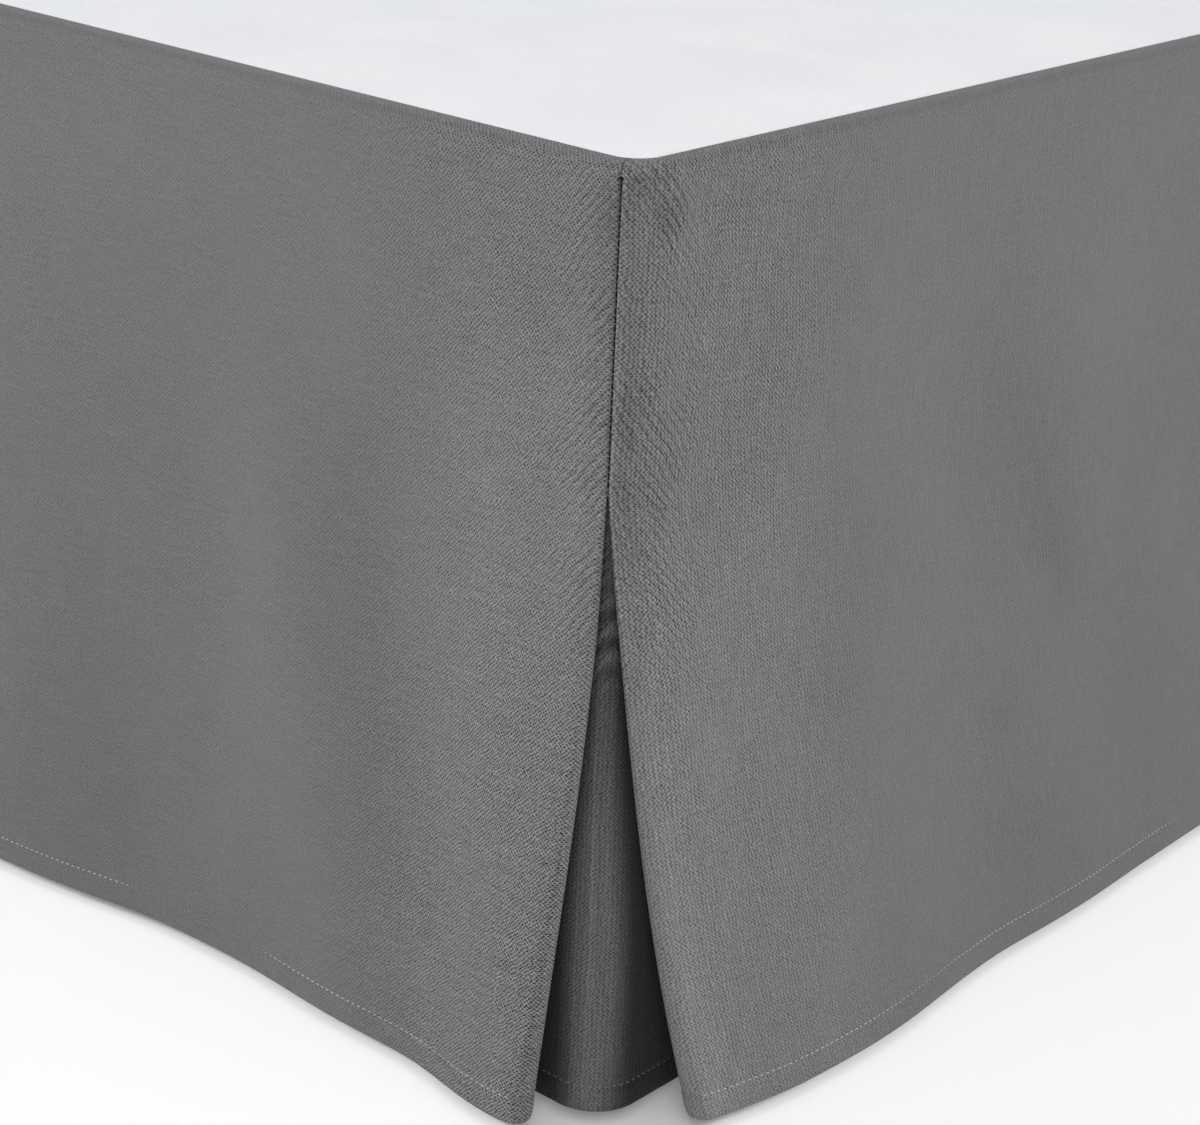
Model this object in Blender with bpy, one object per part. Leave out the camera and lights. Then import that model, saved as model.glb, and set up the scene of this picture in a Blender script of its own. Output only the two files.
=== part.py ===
"""Tailored bed skirt with split corners, hung on a plain bed base with short legs.

The head of the bed is at +Y and the foot at -Y. Each drop is worked out in its own
panel frame: "along" runs away from a corner, "out" points away from the bed, and
"down" is the share of the hanging cloth, from 0 under the rolled top to 1 at the hem.
"""

import math
from collections import namedtuple

import bmesh
import bpy

# Driving dimensions, in metres
SKIRT_WIDTH = 1.524
SKIRT_LENGTH = 2.032
DROP = 0.381
FLOOR_GAP = 0.006
CLOTH = 0.001
SEAT_GAP = 0.0003

# Top edge: the drop rolls over the edge of the base and ends in a flat lip
ROLL_RADIUS = 0.005
LIP = 0.006
ROLL_STEPS = 3

# Corner: both drops wrap round it and meet at a seam on its foot side
CORNER_RADIUS = 0.022
SEAM_OFFSET = 0.006
CORNER_STEPS = 4
SPLIT_SHARE = 0.305
CORNER_FLARE = 0.016
FLARE_POWER = 1.3
CORNER_HOLD = 0.07
HOLD_PACE = 4.0
SWELL_CLEAR = 0.025

# Fold-back at the edge of each split, from its tight top to its soft hem
FOLD_RADIUS_TOP = 0.0015
FOLD_RADIUS_HEM = 0.006
FOLD_STEPS = 4
RETURN_LENGTH = 0.052
RETURN_STEPS = 4

# Underlay behind each split
INSERT_RADIUS_HEM = 0.020
INSERT_BACK = 0.0040
INSERT_BACK_PACE = 5.0
INSERT_FREE_SHARE = 0.56
INSERT_TOP_SHARE = 0.03
INSERT_SIDE_STEPS = 4
INSERT_CORNER_STEPS = 6
INSERT_SIDE_MARGIN = 0.002

# Bed base and legs
BASE_INSET = 0.007
BASE_CORNER_RADIUS = 0.020
BASE_TOP_EDGE = 0.002
BASE_BOTTOM_EDGE = 0.010
HEAD_MARGIN = 0.003
LEG_HEIGHT = 0.170
LEG_TOP_WIDTH = 0.060
LEG_FOOT_WIDTH = 0.044
LEG_SIDE_INSET = 0.100
LEG_END_INSET = 0.130
LEG_EDGE = 0.004

# Grid spacing of the drops
FINE_COLUMN = 0.013
COLUMN_GROWTH = 1.25
WIDE_COLUMN = 0.062

# Shares of the hanging cloth where a row of the grid lies
DROP_ROWS = (0.0, 0.08, 0.16, 0.24, SPLIT_SHARE, 0.38, 0.46, 0.55, 0.64, 0.73, 0.82, 0.91, 1.0)

# How far the foot hem stands outside the foot's top edge
FOOT_REACH = 0.0212
FOOT_Y = (FOOT_REACH - SKIRT_LENGTH) / 2
HEAD_Y = FOOT_Y + SKIRT_LENGTH
TOP_Z = FLOOR_GAP + DROP
SHEET_TOP_Z = TOP_Z - CLOTH / 2
HANG_TOP_Z = SHEET_TOP_Z - ROLL_RADIUS
LIP_INSET = ROLL_RADIUS + LIP

# A soft fold: where its line starts from the corner, half its width, how far it stands
# out at its fullest (a trough is negative), the shares of the drop where it begins and
# where it is fullest, how much of it is left at the hem, and how far its line moves
# along the panel on the way down
Fold = namedtuple("Fold", "along half_width out top full left lean")

FOOT_RIGHT_FOLDS = (
    Fold(0.028, 0.055, 0.0060, 0.30, 0.90, 1.0, 0.014),
    Fold(0.105, 0.060, -0.0030, 0.45, 0.75, 0.4, -0.020),
    Fold(0.186, 0.062, 0.0045, 0.15, 0.45, 0.5, -0.035),
    Fold(0.207, 0.115, -0.0062, 0.10, 0.70, 1.0, -0.022),
    Fold(0.262, 0.055, -0.0018, 0.55, 0.90, 0.8, -0.012),
    Fold(0.350, 0.110, 0.0095, 0.08, 0.85, 1.0, 0.010),
    Fold(0.530, 0.105, -0.0045, 0.25, 0.80, 1.0, -0.020),
    Fold(0.690, 0.110, 0.0050, 0.30, 0.90, 0.8, 0.015),
)
FOOT_LEFT_FOLDS = (
    Fold(0.032, 0.060, 0.0060, 0.32, 0.90, 1.0, 0.012),
    Fold(0.165, 0.100, -0.0050, 0.15, 0.75, 1.0, 0.015),
    Fold(0.300, 0.110, 0.0080, 0.10, 0.80, 1.0, -0.025),
    Fold(0.480, 0.110, -0.0055, 0.30, 0.85, 0.9, 0.020),
    Fold(0.640, 0.090, 0.0035, 0.45, 0.90, 1.0, 0.010),
)
RIGHT_FOLDS = (
    Fold(0.010, 0.060, -0.0050, 0.35, 1.00, 1.0, 0.025),
    Fold(0.092, 0.105, 0.0060, 0.06, 0.55, 0.95, 0.008),
    Fold(0.120, 0.085, 0.0045, 0.50, 0.95, 1.0, 0.045),
    Fold(0.123, 0.090, -0.0060, 0.12, 0.55, 0.25, 0.267),
    Fold(0.270, 0.075, 0.0045, 0.04, 0.35, 0.30, 0.020),
    Fold(0.440, 0.120, -0.0050, 0.25, 0.75, 0.60, 0.030),
    Fold(0.640, 0.150, 0.0050, 0.15, 0.80, 0.9, -0.030),
    Fold(0.880, 0.150, -0.0060, 0.30, 0.85, 1.0, 0.025),
    Fold(1.130, 0.160, 0.0055, 0.10, 0.70, 0.8, 0.030),
    Fold(1.400, 0.150, -0.0060, 0.35, 0.90, 1.0, -0.035),
    Fold(1.650, 0.150, 0.0055, 0.15, 0.75, 0.9, 0.020),
    Fold(1.880, 0.130, -0.0045, 0.30, 0.90, 1.0, 0.010),
)
LEFT_FOLDS = (
    Fold(0.012, 0.060, -0.0045, 0.37, 1.00, 1.0, 0.022),
    Fold(0.090, 0.110, 0.0075, 0.08, 0.65, 1.0, 0.020),
    Fold(0.250, 0.100, -0.0060, 0.15, 0.70, 0.9, -0.030),
    Fold(0.420, 0.130, 0.0052, 0.10, 0.80, 1.0, 0.040),
    Fold(0.690, 0.150, -0.0060, 0.25, 0.85, 1.0, 0.025),
    Fold(0.930, 0.140, 0.0050, 0.15, 0.75, 0.8, -0.030),
    Fold(1.210, 0.160, -0.0052, 0.20, 0.90, 1.0, 0.035),
    Fold(1.480, 0.150, 0.0060, 0.15, 0.80, 0.9, -0.020),
    Fold(1.760, 0.160, -0.0048, 0.25, 0.85, 1.0, 0.030),
)

# A soft swell of small extent (a hollow is negative): how far its middle is from the
# corner and below the top, its reach along and down, how far it stands out, and how far
# it moves along the panel for each metre down
Swell = namedtuple("Swell", "along depth half_along half_depth out lean")

FOOT_SWELLS = (
    Swell(0.108, 0.190, 0.072, 0.160, -0.0050, -0.06),
    Swell(0.250, 0.190, 0.050, 0.070, 0.0014, -0.30),
)
SIDE_SWELLS = (
    Swell(0.125, 0.070, 0.090, 0.048, 0.0032, 0.00),
    Swell(0.090, 0.195, 0.070, 0.120, -0.0055, -0.28),
    Swell(0.300, 0.205, 0.040, 0.060, 0.0018, 0.50),
    Swell(0.300, 0.335, 0.060, 0.040, 0.0016, 0.30),
)

# A panel: its folds and swells from the corner on, its own flare at the hem and how
# late that comes, the angle it wraps round the corner, the angle its edge still turns in at the hem, where the nose of its
# fold-back stands there, and how far the underlay behind it swings back below the base
Panel = namedtuple("Panel", "folds swells flare power wrap hem_turn nose back")

QUARTER = math.pi / 4
SEAM_ANGLE = SEAM_OFFSET / CORNER_RADIUS
FOOT_WRAP = QUARTER - SEAM_ANGLE
SIDE_WRAP = QUARTER + SEAM_ANGLE
FOOT_HEM_TURN = math.radians(12)
SIDE_HEM_TURN = math.radians(14)


def mirrored(folds):
    """Folds of the foot drop, measured from its other corner."""
    return tuple(
        fold._replace(along=SKIRT_WIDTH - fold.along, lean=-fold.lean) for fold in folds
    )


FOOT_RIGHT_PANEL_FOLDS = FOOT_RIGHT_FOLDS + mirrored(FOOT_LEFT_FOLDS)
FOOT_LEFT_PANEL_FOLDS = FOOT_LEFT_FOLDS + mirrored(FOOT_RIGHT_FOLDS)
FOOT_RIGHT = Panel(
    FOOT_RIGHT_PANEL_FOLDS, FOOT_SWELLS, 0.0115, 1.5, FOOT_WRAP, FOOT_HEM_TURN, 0.0245, 0.0070
)
FOOT_LEFT = Panel(
    FOOT_LEFT_PANEL_FOLDS, (), 0.0115, 1.5, FOOT_WRAP, FOOT_HEM_TURN, 0.0255, 0.0070
)
RIGHT_SIDE = Panel(
    RIGHT_FOLDS, SIDE_SWELLS, 0.0275, 2.0, SIDE_WRAP, SIDE_HEM_TURN, 0.036, 0.0040
)
LEFT_SIDE = Panel(LEFT_FOLDS, (), 0.0275, 2.0, SIDE_WRAP, SIDE_HEM_TURN, 0.035, 0.0060)


def mix(low, high, share):
    """The value at a share of the way between two others."""
    return low + (high - low) * share


def ease(share):
    """A share, held between 0 and 1, with a soft start and end."""
    share = min(max(share, 0.0), 1.0)
    return share * share * (3 - 2 * share)


def opening(down):
    """How far the split has opened at a share of the drop: 0 at its top, 1 at the hem."""
    return max(0.0, (down - SPLIT_SHARE) / (1 - SPLIT_SHARE))


def corner_out(down):
    """How far the sewn corner stands outside its top edge."""
    return CORNER_FLARE * down ** FLARE_POWER


def hang_z(down):
    """Height of a share of the hanging cloth."""
    return mix(HANG_TOP_Z, FLOOR_GAP, down)


def fold_out(fold, along, down):
    """How far one soft fold moves the cloth at a place on the panel."""
    reach = abs(along - fold.along - fold.lean * down) / fold.half_width
    if reach >= 1:
        return 0.0
    grown = ease((down - fold.top) / (fold.full - fold.top))
    if down > fold.full:
        grown = mix(1.0, fold.left, ease((down - fold.full) / (1 - fold.full)))
    return fold.out * grown * (0.5 + 0.5 * math.cos(math.pi * reach))


def bell(reach):
    """1 in the middle of a swell and 0 at its edge and beyond."""
    return 0.5 + 0.5 * math.cos(math.pi * min(abs(reach), 1.0))


def swell_out(swell, along, down):
    """How far one swell moves the cloth at a place on the panel."""
    below = down * (HANG_TOP_Z - FLOOR_GAP) - swell.depth
    across = along - swell.along - swell.lean * below
    return swell.out * bell(across / swell.half_along) * bell(below / swell.half_depth)


def panel_out(panel, along, down):
    """How far the cloth stands outside its top edge at a place on the panel."""
    free = panel.flare * down ** panel.power
    free += sum(fold_out(fold, along, down) for fold in panel.folds)
    near = 1 - ease((along - CORNER_RADIUS - FINE_COLUMN) / CORNER_HOLD)
    held = near * (1 - ease(HOLD_PACE * opening(down)))
    clear = ease((along - straight_end(panel, down)) / SWELL_CLEAR)
    swelling = clear * sum(swell_out(swell, along, down) for swell in panel.swells)
    return mix(free, corner_out(down), held) + swelling


def wrap_length(panel):
    """Length of cloth from the straight of a panel to the start of its fold-back."""
    nose = FOLD_RADIUS_TOP + (CLOTH + SEAT_GAP) / 2
    return CORNER_RADIUS * (panel.wrap - nose / (CORNER_RADIUS - FOLD_RADIUS_TOP))


def straight_end(panel, down):
    """How far from the corner the straight run of a panel ends."""
    at_top = CORNER_RADIUS - corner_out(down)
    at_hem = panel.nose + FOLD_RADIUS_HEM + wrap_length(panel)
    return mix(at_top, at_hem, opening(down))


def arc_places(start, heading, radius, angle, steps):
    """Places along an arc, without its start; a positive angle turns towards the bed."""
    bend = math.copysign(radius, angle)
    places = []
    for step in range(1, steps + 1):
        end = heading + angle * step / steps
        along = start[0] + bend * (math.sin(heading) - math.sin(end))
        places.append((along, start[1] - bend * (math.cos(heading) - math.cos(end))))
    return places


def eased_places(start, heading, end, steps):
    """Places on a smooth curve that leaves along a heading and ends along the panel."""
    reach = math.dist(start, end) / 3
    first = (start[0] - reach * math.cos(heading), start[1] - reach * math.sin(heading))
    second = (end[0] - reach, end[1])
    places = []
    for step in range(1, steps + 1):
        t = step / steps
        weights = ((1 - t) ** 3, 3 * t * (1 - t) ** 2, 3 * t * t * (1 - t), t ** 3)
        knots = (start, first, second, end)
        places.append(tuple(sum(w * k[axis] for w, k in zip(weights, knots)) for axis in (0, 1)))
    return places


def fold_radius(down):
    """Radius of the fold at the edge of a split."""
    return mix(FOLD_RADIUS_TOP, FOLD_RADIUS_HEM, opening(down))


def insert_out(panel, down):
    """How far the side of an underlay behind a panel stands outside the top edge."""
    layers = 2 * fold_radius(down) + CLOTH + SEAT_GAP
    back = INSERT_BACK * ease(INSERT_BACK_PACE * opening(down))
    below = ease((down - INSERT_FREE_SHARE) / (1 - INSERT_FREE_SHARE))
    return corner_out(down) - layers - back - panel.back * below


def edge_places(panel, down):
    """Plan of the edge of a panel: the wrap, the fold and the return behind it."""
    along = straight_end(panel, down)
    start = (along, panel_out(panel, along, down))
    ahead = panel_out(panel, along + FINE_COLUMN, down)
    heading = math.atan2(ahead - start[1], FINE_COLUMN)
    sewn_turn = wrap_length(panel) / CORNER_RADIUS
    turn = mix(sewn_turn, panel.hem_turn, opening(down)) - heading
    radius = wrap_length(panel) / turn
    fold = fold_radius(down)
    wrap = arc_places(start, heading, radius, turn, CORNER_STEPS)
    nose = arc_places(wrap[-1], heading + turn, fold, math.pi, FOLD_STEPS)
    back = heading + turn + math.pi
    inner = arc_places(nose[-1], back, radius - 2 * fold, -turn, CORNER_STEPS)
    stop = (along + RETURN_LENGTH, insert_out(panel, down) + CLOTH + SEAT_GAP)
    rest = eased_places(inner[-1], heading + math.pi, stop, RETURN_STEPS)
    return wrap + nose + inner + rest


def top_wrap(panel, inset):
    """Plan of the edge of a panel where it rolls over the top, at an inset."""
    angle = panel.wrap - (SEAT_GAP / 2) / (CORNER_RADIUS - inset)
    start = (CORNER_RADIUS, -inset)
    return arc_places(start, 0.0, CORNER_RADIUS - inset, angle, CORNER_STEPS)


def run_shares(length):
    """Shares of a straight run where its columns lie, closer together near a corner."""
    places = [0.0]
    step = FINE_COLUMN
    while places[-1] + step < length:
        places.append(places[-1] + step)
        step = min(step * COLUMN_GROWTH, WIDE_COLUMN)
    return [place / places[-1] for place in places]


def top_rows():
    """Inset and height of each row of the lip and of the roll over the edge."""
    rows = [(LIP_INSET, SHEET_TOP_Z)]
    for step in range(ROLL_STEPS):
        angle = math.pi / 2 * step / ROLL_STEPS
        inset = ROLL_RADIUS * (1 - math.sin(angle))
        rows.append((inset, HANG_TOP_Z + ROLL_RADIUS * math.cos(angle)))
    return rows


def corner_end(panel, far_end, shares, down=None, inset=None):
    """One row of a panel from its far end to its corner, and on behind the fold."""
    if down is None:
        run = [(mix(CORNER_RADIUS, far_end, share), -inset) for share in reversed(shares)]
        hidden = FOLD_STEPS + CORNER_STEPS + RETURN_STEPS
        return run + top_wrap(panel, inset) + [None] * hidden
    near = straight_end(panel, down)
    places = [mix(near, far_end, share) for share in reversed(shares)]
    run = [(along, panel_out(panel, along, down)) for along in places]
    return run + edge_places(panel, down)


def panel_rows(panel, far_end):
    """Every row of one end of a drop with its height, from the lip to the hem."""
    shares = run_shares(far_end - CORNER_RADIUS)
    rows = []
    for inset, height in top_rows():
        rows.append((height, corner_end(panel, far_end, shares, inset=inset)))
    for down in DROP_ROWS:
        rows.append((hang_z(down), corner_end(panel, far_end, shares, down=down)))
    return rows


def side_places(panel, hand):
    """Places of a side drop; hand is 1 where outside is to the right of its run."""
    lines = []
    for height, row in panel_rows(panel, SKIRT_LENGTH):
        lines.append([place and (place[0], -hand * place[1], height) for place in row])
    return lines


def foot_places():
    """Places of the foot drop, from behind its left split to behind its right one."""
    middle = SKIRT_WIDTH / 2
    lefts = panel_rows(FOOT_LEFT, middle)
    rights = panel_rows(FOOT_RIGHT, middle)
    lines = []
    for (height, left), (_, right) in zip(lefts, rights):
        line = [place and (place[0], -place[1], height) for place in reversed(left)]
        for place in right[1:]:
            line.append(place and (SKIRT_WIDTH - place[0], -place[1], height))
        lines.append(line)
    return lines


def insert_places(foot, side, hand):
    """Places of an underlay in plan round its corner, hand 1 at the right."""
    at_top = CORNER_RADIUS - 2 * FOLD_RADIUS_TOP - CLOTH - SEAT_GAP
    lines = []
    for down in (INSERT_TOP_SHARE,) + DROP_ROWS[1:]:
        radius = mix(at_top, INSERT_RADIUS_HEM, ease(opening(down)))
        foot_out, side_out = insert_out(foot, down), insert_out(side, down)
        centre = (radius - side_out, radius - foot_out)
        reach = RETURN_LENGTH - INSERT_SIDE_MARGIN
        foot_end = straight_end(foot, down) + reach
        side_end = straight_end(side, down) + reach
        line = []
        for step in range(INSERT_SIDE_STEPS):
            line.append((mix(foot_end, centre[0], step / INSERT_SIDE_STEPS), -foot_out))
        for step in range(INSERT_CORNER_STEPS + 1):
            angle = math.pi / 2 * step / INSERT_CORNER_STEPS
            across = centre[0] - radius * math.sin(angle)
            line.append((across, centre[1] - radius * math.cos(angle)))
        for step in range(INSERT_SIDE_STEPS):
            share = (step + 1) / INSERT_SIDE_STEPS
            line.append((-side_out, mix(centre[1], side_end, share)))
        lines.append([(-hand * across, inward, hang_z(down)) for across, inward in line])
    return lines


def cloth_mesh(name, lines):
    """A mesh of one sheet, a grid moved to its places; a place of None is cut away."""
    sheet = bmesh.new()
    columns = len(lines[0])
    bmesh.ops.create_grid(sheet, x_segments=columns - 1, y_segments=len(lines) - 1, size=1.0)
    cut_away = []
    for index, vertex in enumerate(list(sheet.verts)):
        place = lines[index // columns][index % columns]
        if place is None:
            cut_away.append(vertex)
        else:
            vertex.co = place
    bmesh.ops.delete(sheet, geom=cut_away, context="VERTS")
    bmesh.ops.triangulate(sheet, faces=list(sheet.faces))
    return finished_mesh(name, sheet)


def finished_mesh(name, shape):
    """Write a bmesh to a new mesh with smooth faces and sharp corners."""
    mesh = bpy.data.meshes.new(name)
    shape.to_mesh(mesh)
    shape.free()
    mesh.shade_smooth()
    mesh.set_sharp_from_angle(angle=math.radians(50))
    return mesh


def deck_mesh():
    """The deck as a flat sheet whose foot corners are rounded."""
    half_width = SKIRT_WIDTH / 2 - LIP_INSET - SEAT_GAP
    foot = FOOT_Y + LIP_INSET + SEAT_GAP
    head = HEAD_Y - HEAD_MARGIN
    sheet = bmesh.new()
    bmesh.ops.create_grid(sheet, x_segments=1, y_segments=1, size=1.0)
    for vertex in sheet.verts:
        vertex.co.x *= half_width
        vertex.co.y = foot if vertex.co.y < 0 else head
    bmesh.ops.bevel(
        sheet,
        geom=[vertex for vertex in sheet.verts if vertex.co.y < 0],
        affect="VERTICES",
        offset=CORNER_RADIUS - LIP_INSET - SEAT_GAP,
        segments=CORNER_STEPS * 2,
        profile=0.5,
        material=-1,
    )
    return finished_mesh("deck", sheet)


def rounded_edges(shape, edges, radius, segments):
    """Round some edges of a shape."""
    bmesh.ops.bevel(
        shape, geom=edges, affect="EDGES", offset=radius, segments=segments, profile=0.5, material=-1
    )


def is_level(edge, height):
    """Whether both ends of an edge lie at a height."""
    return all(abs(vertex.co.z - height) < CLOTH / 10 for vertex in edge.verts)


def base_mesh():
    """The foundation: a block with round upright corners and soft top and bottom edges."""
    low = LEG_HEIGHT + SEAT_GAP
    high = TOP_Z - CLOTH - SEAT_GAP
    half_width = SKIRT_WIDTH / 2 - BASE_INSET
    foot = FOOT_Y + BASE_INSET
    head = HEAD_Y - HEAD_MARGIN
    block = bmesh.new()
    bmesh.ops.create_cube(block, size=2.0)
    for vertex in block.verts:
        vertex.co.x *= half_width
        vertex.co.y = foot if vertex.co.y < 0 else head
        vertex.co.z = low if vertex.co.z < 0 else high
    upright = [edge for edge in block.edges if not is_level(edge, low) and not is_level(edge, high)]
    rounded_edges(block, upright, BASE_CORNER_RADIUS, CORNER_STEPS)
    rounded_edges(block, [e for e in block.edges if is_level(e, high)], BASE_TOP_EDGE, 2)
    rounded_edges(block, [e for e in block.edges if is_level(e, low)], BASE_BOTTOM_EDGE, 3)
    return finished_mesh("bed_base", block)


def leg_mesh():
    """A square wooden leg that narrows towards the floor."""
    leg = bmesh.new()
    bmesh.ops.create_cube(leg, size=1.0)
    for vertex in leg.verts:
        top = vertex.co.z > 0
        width = LEG_TOP_WIDTH if top else LEG_FOOT_WIDTH
        vertex.co.x *= width
        vertex.co.y *= width
        vertex.co.z = LEG_HEIGHT if top else 0.0
    rounded_edges(leg, [e for e in leg.edges if not is_level(e, LEG_HEIGHT)], LEG_EDGE, 2)
    return finished_mesh("leg", leg)


def plain_material(name, colour, roughness):
    """A material of one colour."""
    material = bpy.data.materials.new(name)
    material.use_nodes = True
    shader = material.node_tree.nodes["Principled BSDF"]
    shader.inputs["Base Color"].default_value = (*colour, 1.0)
    shader.inputs["Roughness"].default_value = roughness
    shader.inputs["Metallic"].default_value = 0.0
    return material


def grey_cloth():
    """Mid grey woven cloth of the drops and underlays."""
    return plain_material("grey_cloth", (0.168, 0.168, 0.170), 0.92)


def white_cloth():
    """Smooth white cloth of the deck."""
    return plain_material("white_cloth", (0.80, 0.80, 0.83), 0.85)


def base_cover():
    """Plain pale cover of the foundation."""
    return plain_material("base_cover", (0.62, 0.60, 0.56), 0.90)


def leg_wood():
    """Plain brown wood of the legs."""
    return plain_material("leg_wood", (0.25, 0.14, 0.07), 0.50)


def placed(name, mesh, material, parent, location=(0.0, 0.0, 0.0), turn=0.0):
    """An object of a mesh, placed under the assembly's empty."""
    mesh.materials.clear()
    mesh.materials.append(material)
    piece = bpy.data.objects.new(name, mesh)
    bpy.context.scene.collection.objects.link(piece)
    piece.parent = parent
    piece.location = location
    piece.rotation_euler = (0.0, 0.0, turn)
    return piece


def add_thickness(piece):
    """Give a sheet the thickness of the cloth, half to each side."""
    solidify = piece.modifiers.new("cloth", "SOLIDIFY")
    solidify.thickness = CLOTH
    solidify.offset = 0.0
    solidify.use_even_offset = True
    solidify.use_rim = True


def build_drops(parent, cloth):
    """The foot drop and the two side drops."""
    left = (-SKIRT_WIDTH / 2, FOOT_Y, 0.0)
    right = (SKIRT_WIDTH / 2, FOOT_Y, 0.0)
    upward = math.pi / 2
    foot = cloth_mesh("foot_drop", foot_places())
    add_thickness(placed("foot_drop", foot, cloth, parent, left))
    side = cloth_mesh("right_drop", side_places(RIGHT_SIDE, 1))
    add_thickness(placed("right_drop", side, cloth, parent, right, upward))
    side = cloth_mesh("left_drop", side_places(LEFT_SIDE, -1))
    add_thickness(placed("left_drop", side, cloth, parent, left, upward))


def build_inserts(parent, cloth):
    """The underlay behind each split."""
    for name, foot, side, hand in (
        ("right_corner_insert", FOOT_RIGHT, RIGHT_SIDE, 1),
        ("left_corner_insert", FOOT_LEFT, LEFT_SIDE, -1),
    ):
        mesh = cloth_mesh(name, insert_places(foot, side, hand))
        corner = (hand * SKIRT_WIDTH / 2, FOOT_Y, 0.0)
        add_thickness(placed(name, mesh, cloth, parent, corner))


def build_deck(parent, cloth):
    """The white deck, level with the lips of the drops."""
    deck = placed("deck", deck_mesh(), cloth, parent, (0.0, 0.0, SHEET_TOP_Z))
    add_thickness(deck)


def build_base(parent):
    """The foundation and its six legs."""
    placed("bed_base", base_mesh(), base_cover(), parent)
    wood = leg_wood()
    leg = leg_mesh()
    across = SKIRT_WIDTH / 2 - LEG_SIDE_INSET
    rows = (
        ("foot", FOOT_Y + LEG_END_INSET),
        ("middle", (FOOT_Y + HEAD_Y) / 2),
        ("head", HEAD_Y - LEG_END_INSET),
    )
    for row, y in rows:
        placed(f"leg_{row}_left", leg, wood, parent, (-across, y, 0.0))
        placed(f"leg_{row}_right", leg, wood, parent, (across, y, 0.0))


def main():
    """Clear the scene and build the skirt on its base."""
    for old in list(bpy.data.objects):
        bpy.data.objects.remove(old, do_unlink=True)
    assembly = bpy.data.objects.new("skirt_on_base", None)
    bpy.context.scene.collection.objects.link(assembly)
    grey = grey_cloth()
    build_base(assembly)
    build_deck(assembly, white_cloth())
    build_drops(assembly, grey)
    build_inserts(assembly, grey)


main()
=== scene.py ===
"""Looks of a tailored bed skirt with split corners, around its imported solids.

The cloth pieces repeat the named values of the solids and hang in the same folds, on a
finer grid, with turned hems, running stitches, a closed corner seam and a woven finish.
"""

import math
from collections import namedtuple

import bmesh
import bpy
from mathutils import Matrix, Vector, noise


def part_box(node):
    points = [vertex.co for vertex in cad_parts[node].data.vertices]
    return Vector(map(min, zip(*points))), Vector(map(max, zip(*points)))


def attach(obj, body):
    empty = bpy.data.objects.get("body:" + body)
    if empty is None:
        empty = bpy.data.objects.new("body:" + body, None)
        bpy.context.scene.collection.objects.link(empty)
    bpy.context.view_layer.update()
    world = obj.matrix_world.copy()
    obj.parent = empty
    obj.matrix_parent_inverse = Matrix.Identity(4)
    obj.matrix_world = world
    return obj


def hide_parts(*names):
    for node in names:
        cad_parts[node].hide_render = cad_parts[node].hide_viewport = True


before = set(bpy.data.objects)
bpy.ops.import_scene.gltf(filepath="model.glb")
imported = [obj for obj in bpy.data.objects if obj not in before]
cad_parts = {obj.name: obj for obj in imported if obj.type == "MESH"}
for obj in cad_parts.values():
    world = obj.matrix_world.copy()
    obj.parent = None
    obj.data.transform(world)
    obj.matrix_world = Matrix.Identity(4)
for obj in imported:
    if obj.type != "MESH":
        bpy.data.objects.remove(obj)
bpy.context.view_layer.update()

# Sizes shared with the solids, in metres
SKIRT_WIDTH = 1.524
SKIRT_LENGTH = 2.032
DROP = 0.381
FLOOR_GAP = 0.006
CLOTH = 0.001
SEAT_GAP = 0.0003
ROLL_RADIUS = 0.005
LIP = 0.006
CORNER_RADIUS = 0.022
SEAM_OFFSET = 0.006
SPLIT_SHARE = 0.305
CORNER_FLARE = 0.016
FLARE_POWER = 1.3
CORNER_HOLD = 0.07
HOLD_START = 0.013
HOLD_PACE = 4.0
SWELL_CLEAR = 0.025
FOLD_RADIUS_TOP = 0.0009
FOLD_RADIUS_HEM = 0.006
RETURN_LENGTH = 0.052
INSERT_RADIUS_HEM = 0.020
INSERT_BACK = 0.0040
INSERT_BACK_PACE = 5.0
INSERT_FREE_SHARE = 0.56
INSERT_TOP_SHARE = 0.03
INSERT_SIDE_MARGIN = 0.002
HEAD_MARGIN = 0.003
FOOT_REACH = 0.0212
FOOT_Y = (FOOT_REACH - SKIRT_LENGTH) / 2
HEAD_Y = FOOT_Y + SKIRT_LENGTH
TOP_Z = FLOOR_GAP + DROP
SHEET_TOP_Z = TOP_Z - CLOTH / 2
HANG_TOP_Z = SHEET_TOP_Z - ROLL_RADIUS
LIP_INSET = ROLL_RADIUS + LIP

# Finer steps of the visible cloth
ROLL_STEPS = 7
CORNER_STEPS = 10
FOLD_STEPS = 10
RETURN_STEPS = 7
INSERT_SIDE_STEPS = 12
INSERT_CORNER_STEPS = 16
FINE_COLUMN = 0.0025
COLUMN_GROWTH = 1.07
WIDE_COLUMN = 0.0105
ROW_STEP = 0.0060
SHEET = 0.0008
HIDDEN_COLUMNS = FOLD_STEPS + CORNER_STEPS + RETURN_STEPS

# Hems: turned under, sewn with a running stitch
HEM_DEPTH = 0.011
HEM_RIDGE = 0.00025
HEM_BEND = 0.0006
HEM_TOP = 0.0165
HEM_BEND_STEPS = 4
END_BEND = 0.0012
STITCH_PITCH = 0.0031
STITCH_LENGTH = 0.0021
STITCH_WIDTH = 0.00048
STITCH_SWING = 9.0
STITCH_SUNK = -0.38
STITCH_PROUD = 0.30
STITCH_CONTRAST = 1.6

# Stitches that close the corner seam, and the bar of them above the split
SEAM_START = 0.012
SEAM_PITCH = 0.0030
SEAM_SINK = 0.0005
SEAM_TILT = 0.18
SEAM_STITCH_LENGTH = 0.0017
SEAM_STITCH_WIDTH = 0.00045
SPLIT_BAR = (0.0030, 0.0020, 0.0010)

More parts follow.
